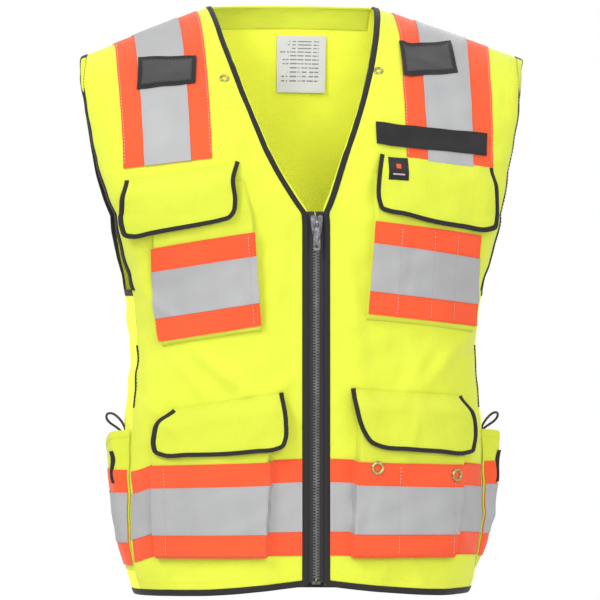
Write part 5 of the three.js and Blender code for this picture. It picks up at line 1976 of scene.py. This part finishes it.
@dataclass
class Zip:
    """Separating zip: woven tapes, two rows of moulded teeth, slider and pull tab."""

    bottom: float = 15.0
    top: float = 402.0
    tooth_pitch: float = 3.0
    tooth_height: float = 1.7
    tape_edge: float = 13.6
    slider_height: float = 389.0
    slider_y: float = -121.0

    def build(self) -> None:
        """Builds the tapes, teeth, slider and pull."""
        for side in Side:
            name = side.value
            hang = Hang(f"front_{name}")
            Maker.finished(self.tape(side), hang, "black", [f"zip_tape_{name}"])
            Maker.finished(self.teeth(side), hang, "plastic", [f"zip_teeth_{name}"])
        Maker.finished(self.slider(), Hang("zip_slider"), "metal", ["zip_slider"])
        Maker.finished(self.pull(), Hang("zip_pull"), "metal", ["zip_pull"])

    def tape(self, side: Side) -> Piece:
        """The woven tape on one side, with the cord that carries the teeth."""
        x = np.array([0.7, 1.6, 3.0, 3.9, 4.5, 5.2, 8.0, 11.0, self.tape_edge])[None, :]
        proud = np.array([0.9, 1.3, 1.5, 1.2, 0.5, 0.15, 0.0, 0.0, 0.0])[None, :]
        level = np.linspace(self.bottom, self.top, 160)[:, None]
        width = FORM.width_at(level)
        angle = side.turn(FORM.angle_of(x / width))
        base = -1.2 + proud
        return Maker.shell(f"zip_tape_cloth_{side.value}", angle, level, base - 0.7, base, Finish.ZIP_TAPE)

    def teeth(self, side: Side) -> Piece:
        """One row of moulded teeth, set half a pitch from the other row."""
        shift = 0.0 if side is Side.LEFT else self.tooth_pitch / 2
        heights = np.arange(self.bottom + 5 + shift, self.top - 8, self.tooth_pitch)
        half = self.tooth_height / 2
        profile = np.array([(-1.1, -half * 0.45), (-0.75, -half * 0.9), (0.9, -half), (3.1, -half * 1.05),
                            (3.5, -half * 0.7), (3.5, half * 0.7), (3.1, half * 1.05), (0.9, half),
                            (-0.75, half * 0.9), (-1.1, half * 0.45)])
        y = -FORM.front_depth
        rings = []
        for scale, out in ((0.86, 2.5), (1.0, 2.1), (1.0, 0.2), (0.9, -0.3)):
            across = 1.2 + (profile[:, 0] - 1.2) * scale
            ring = np.stack([side.sign * across, np.full(10, y - out), profile[:, 1] * scale], 1)
            rings.append(ring)
        tooth = np.concatenate(rings)
        faces = [list(range(10)), list(range(39, 29, -1))]
        for ring in range(3):
            for index in range(10):
                after = (index + 1) % 10
                low, high = ring * 10, (ring + 1) * 10
                faces.append([low + index, high + index, high + after, low + after])
        if side is Side.RIGHT:
            faces = [face[::-1] for face in faces]
        points = tooth[None] + np.stack([np.zeros_like(heights), np.zeros_like(heights),
                                         heights - SHOULDER_HEIGHT], 1)[:, None]
        firsts = 40 * np.arange(len(heights))
        every = [[int(first) + corner for corner in face] for first in firsts for face in faces]
        stop = self._block((side.sign * 2.4, y - 1.2, self.bottom + 0.2 - SHOULDER_HEIGHT), (2.0, 1.7, 1.6))
        row = Maker.mesh(f"zip_tooth_row_{side.value}", points * MM, every, Finish.PLASTIC, sharp=35)
        return Maker.joined(f"zip_tooth_row_{side.value}", [row, stop])

    @staticmethod
    def _block(centre: Sequence[float], half: Sequence[float]) -> Piece:
        """A moulded block with rounded edges, in millimetres."""
        corners = np.array([(x, y, z) for x in (-1, 1) for y in (-1, 1) for z in (-1, 1)], float)
        points = (corners * half + centre) * MM
        faces = [(0, 1, 3, 2), (4, 6, 7, 5), (0, 4, 5, 1), (2, 3, 7, 6), (0, 2, 6, 4), (1, 5, 7, 3)]
        block = Maker.mesh("block", points, faces, Finish.PLASTIC)
        Zip._round(block, 0.5)
        return block

    @staticmethod
    def _round(piece: Piece, width: float) -> None:
        """Rounds a piece's crisp edges and keeps the result."""
        bevel = piece.modifiers.new("round", "BEVEL")
        bevel.width = width * MM
        bevel.segments = 3
        bevel.limit_method = "ANGLE"
        bevel.angle_limit = math.radians(40)
        graph = bpy.context.evaluated_depsgraph_get()
        data = bpy.data.meshes.new_from_object(piece.evaluated_get(graph))
        piece.modifiers.clear()
        piece.data = data

    def _plate(self, name: str, outline: Array, near: float, far: float,
               holes: Sequence[Array] = ()) -> Piece:
        """A flat plate cut to an outline in the plane of the zip.

        Args:
            name: Its name.
            outline: Places (across, height from the slider's pin).
            near: Y of its outer face.
            far: Y of its inner face.
            holes: Outlines of its holes.

        Returns:
            The plate, with rounded edges.
        """
        data = bpy.data.curves.new(name, "CURVE")
        data.dimensions = "2D"
        data.fill_mode = "BOTH"
        data.extrude = abs(near - far) / 2 * MM
        for ring in (outline, *holes):
            spline = data.splines.new("POLY")
            spline.points.add(len(ring) - 1)
            spline.use_cyclic_u = True
            held = np.c_[np.asarray(ring, float) * MM, np.zeros(len(ring)), np.ones(len(ring))]
            spline.points.foreach_set("co", held.ravel())
        flat = linked(name, data)
        graph = bpy.context.evaluated_depsgraph_get()
        mesh = bpy.data.meshes.new_from_object(flat.evaluated_get(graph))
        bpy.data.objects.remove(flat)
        place = Matrix.Translation((0, (near + far) / 2 * MM, (self.slider_height - SHOULDER_HEIGHT) * MM))
        mesh.transform(place @ Matrix.Rotation(math.pi / 2, 4, "X"))
        mesh.materials.clear()
        mesh.materials.append(Finish.STEEL.material())
        piece = linked(name, mesh)
        weld = piece.modifiers.new("weld", "WELD")
        weld.merge_threshold = 0.00002
        self._round(piece, 0.3)
        piece.data.polygons.foreach_set("use_smooth", [True] * len(piece.data.polygons))
        piece.data.set_sharp_from_angle(angle=math.radians(40))
        return piece

    def slider(self) -> Piece:
        """Slider: two shield-shaped plates, a divider and the bridge that holds the pull."""
        half = np.array([(0, 6.5), (2.4, 8.6), (5.2, 8.8), (6.3, 7.0), (6.4, 2.0), (5.2, -6.0), (4.8, -10.4),
                         (3.6, -11.2), (0, -11.2)], float)
        shield = np.concatenate([half, half[::-1][1:-1] * (-1, 1)])
        front = self._plate("front_plate", shield, self.slider_y + 0.8, self.slider_y + 2.2)
        back = self._plate("back_plate", shield, -114.0, -112.8)
        wedge = np.array([(-1.4, 6), (1.4, 6), (0.5, 0.5), (-0.5, 0.5)])
        neck = self._plate("divider", wedge, -119.5, -113.5)
        rail = []
        for sign in (-1, 1):
            line = np.array([(5.1, 7.5), (6.3, 7.0), (6.4, 2.0), (5.2, -6.0), (4.7, -10), (3.9, -10),
                             (4.3, -6), (5.4, 2)], float) * (sign, 1)
            rail.append(self._plate("rail", line, self.slider_y + 1.8, self.slider_y + 3.2))
        bridge = self._bridge()
        return Maker.joined("zip_slider_body", [front, back, neck, *rail, bridge])

    def _bridge(self) -> Piece:
        """The arched bridge on the slider's face."""
        turn = np.linspace(0, np.pi, 13)
        z = 6.8 * np.cos(turn) - 0.2
        y = self.slider_y + 1.1 - 2.6 * np.sin(turn)
        path = np.stack([np.zeros(13), y, z + self.slider_height - SHOULDER_HEIGHT], 1)
        out = np.cross((1.0, 0, 0), unit(np.gradient(path, axis=0)))
        roll = np.linspace(0, 2 * np.pi, 12, endpoint=False)
        ring = np.array([(1.5, 0, 0)]) * np.cos(roll)[:, None]
        points = path[:, None] + ring[None] + out[:, None] * 0.5 * np.sin(roll)[None, :, None]
        return Maker.mesh("bridge", points * MM, Maker.tube(points), Finish.STEEL)

    def pull(self) -> Piece:
        """Pull tab with a slot at its top, a round grip hole and rounded ends."""
        turn, around = np.linspace(0, np.pi, 11), np.linspace(0, 2 * np.pi, 16, endpoint=False)
        top = np.stack([3.0 * np.cos(turn), 1.0 + 1.2 * np.sin(turn)], 1)
        low = np.stack([-3.6 * np.cos(turn), -26.0 - 3.4 * np.sin(turn)], 1)
        outline = np.concatenate([top, [(-2.4, -7.0), (-3.5, -10.0)], low, [(3.5, -10.0), (2.4, -7.0)]])
        slot = np.array([(-1.9, -3.8), (1.9, -3.8), (2.0, -0.8), (1.4, 0.3), (-1.4, 0.3), (-2.0, -0.8)])
        hole = np.stack([1.5 * np.cos(around), -24.6 + 1.5 * np.sin(around)], 1)
        grip = np.array([(-1.6, -12.0), (1.6, -12.0), (1.9, -20.0), (-1.9, -20.0)])
        near, far = self.slider_y - 1.9, self.slider_y - 0.5
        tab = self._plate("tab", outline, near, far, [slot, hole])
        ridge = self._plate("grip", grip, near - 0.5, near + 0.2)
        return Maker.joined("zip_pull_tab", [tab, ridge])


@dataclass
class Studio:
    """Pale floor, soft lights and the camera."""

    azimuth: float = -6.5
    distance: float = 6.0
    scale: float = 1.045
    aim: tuple[float, float] = (-3.7, -312.5)
    view_width: float = 600.0
    lamps: tuple[tuple[str, Colour, float, float], ...] = (
        ("key", (-2.0, -1.7, 1.5), 0.9, 46.0), ("fill", (1.9, -2.3, 0.4), 1.8, 8.0),
        ("front", (0.1, -3.0, 0.5), 1.2, 34.0), ("top", (0.2, -0.2, 2.2), 1.2, 6.0),
        ("back", (0.8, 2.4, 0.9), 1.6, 26.0))
    floor_half: float = 0.9
    floor_height: float = -1.25

    def camera(self) -> None:
        """Sets the camera square to the vest from a little to its right."""
        turn = math.radians(self.azimuth)
        target = Vector((self.aim[0] * math.cos(turn), self.aim[0] * math.sin(turn), self.aim[1])) * MM
        data = bpy.data.cameras.new("camera")
        front = self.distance - 0.09
        data.sensor_width = 36.0
        data.lens = front / (self.scale * MM) * data.sensor_width / self.view_width
        data.clip_end = 60.0
        piece = linked("camera", data)
        piece.location = target + Vector((math.sin(turn), -math.cos(turn), 0)) * self.distance
        piece.rotation_euler = (math.radians(90), 0, turn)
        bpy.context.scene.camera = piece

    def lights(self) -> None:
        """Large soft lamps and a white surround."""
        bpy.context.scene.view_settings.view_transform = "Standard"
        world = bpy.data.worlds.new("surround")
        bpy.context.scene.world = world
        world.use_nodes = True
        white = world.node_tree.nodes["Background"].inputs
        white[0].default_value = (1, 1, 1, 1)
        white[1].default_value = 1.0
        for name, place, size, power in self.lamps:
            data = bpy.data.lights.new(name, "AREA")
            data.size = size
            data.energy = power
            lamp = linked(name, data)
            lamp.location = place
            aim = Vector((0, 0, -0.3)) - Vector(place)
            lamp.rotation_euler = aim.to_track_quat("-Z", "Y").to_euler()

    def floor(self) -> None:
        """A plain pale floor well below the hanging vest."""
        bench = Bench("studio_floor", 0.9, (0.86, 0.86, 0.86))
        tone = bench.noise(bench.object_place(), 6, 2)
        bench.colour(bench.ramp(tone, (0.2, (0.84, 0.84, 0.84)), (0.8, (0.88, 0.88, 0.88))))
        half, z = self.floor_half, self.floor_height
        corners = [(-half, -half, z), (half, -half, z), (half, half, z), (-half, half, z)]
        data = bpy.data.meshes.new("floor")
        data.from_pydata(corners, [], [(0, 1, 2, 3)])
        data.materials.append(bench.material)
        linked("floor", data)


def main() -> None:
    """Builds the vest in order, from the camera and cords to the trims."""
    logging.basicConfig(level=logging.INFO, format="%(message)s")
    studio = Studio()
    studio.camera()
    for side in Side:
        SideCord(side).build()
    studio.lights()
    studio.floor()
    BackCloth().build()
    for side in Side:
        FrontCloth(side).build()
        ShoulderTape(side).build()
    Pockets().build()
    TapedBands().build()
    ShoulderTrims().build()
    Zip().build()


if __name__ == "__main__":
    main()
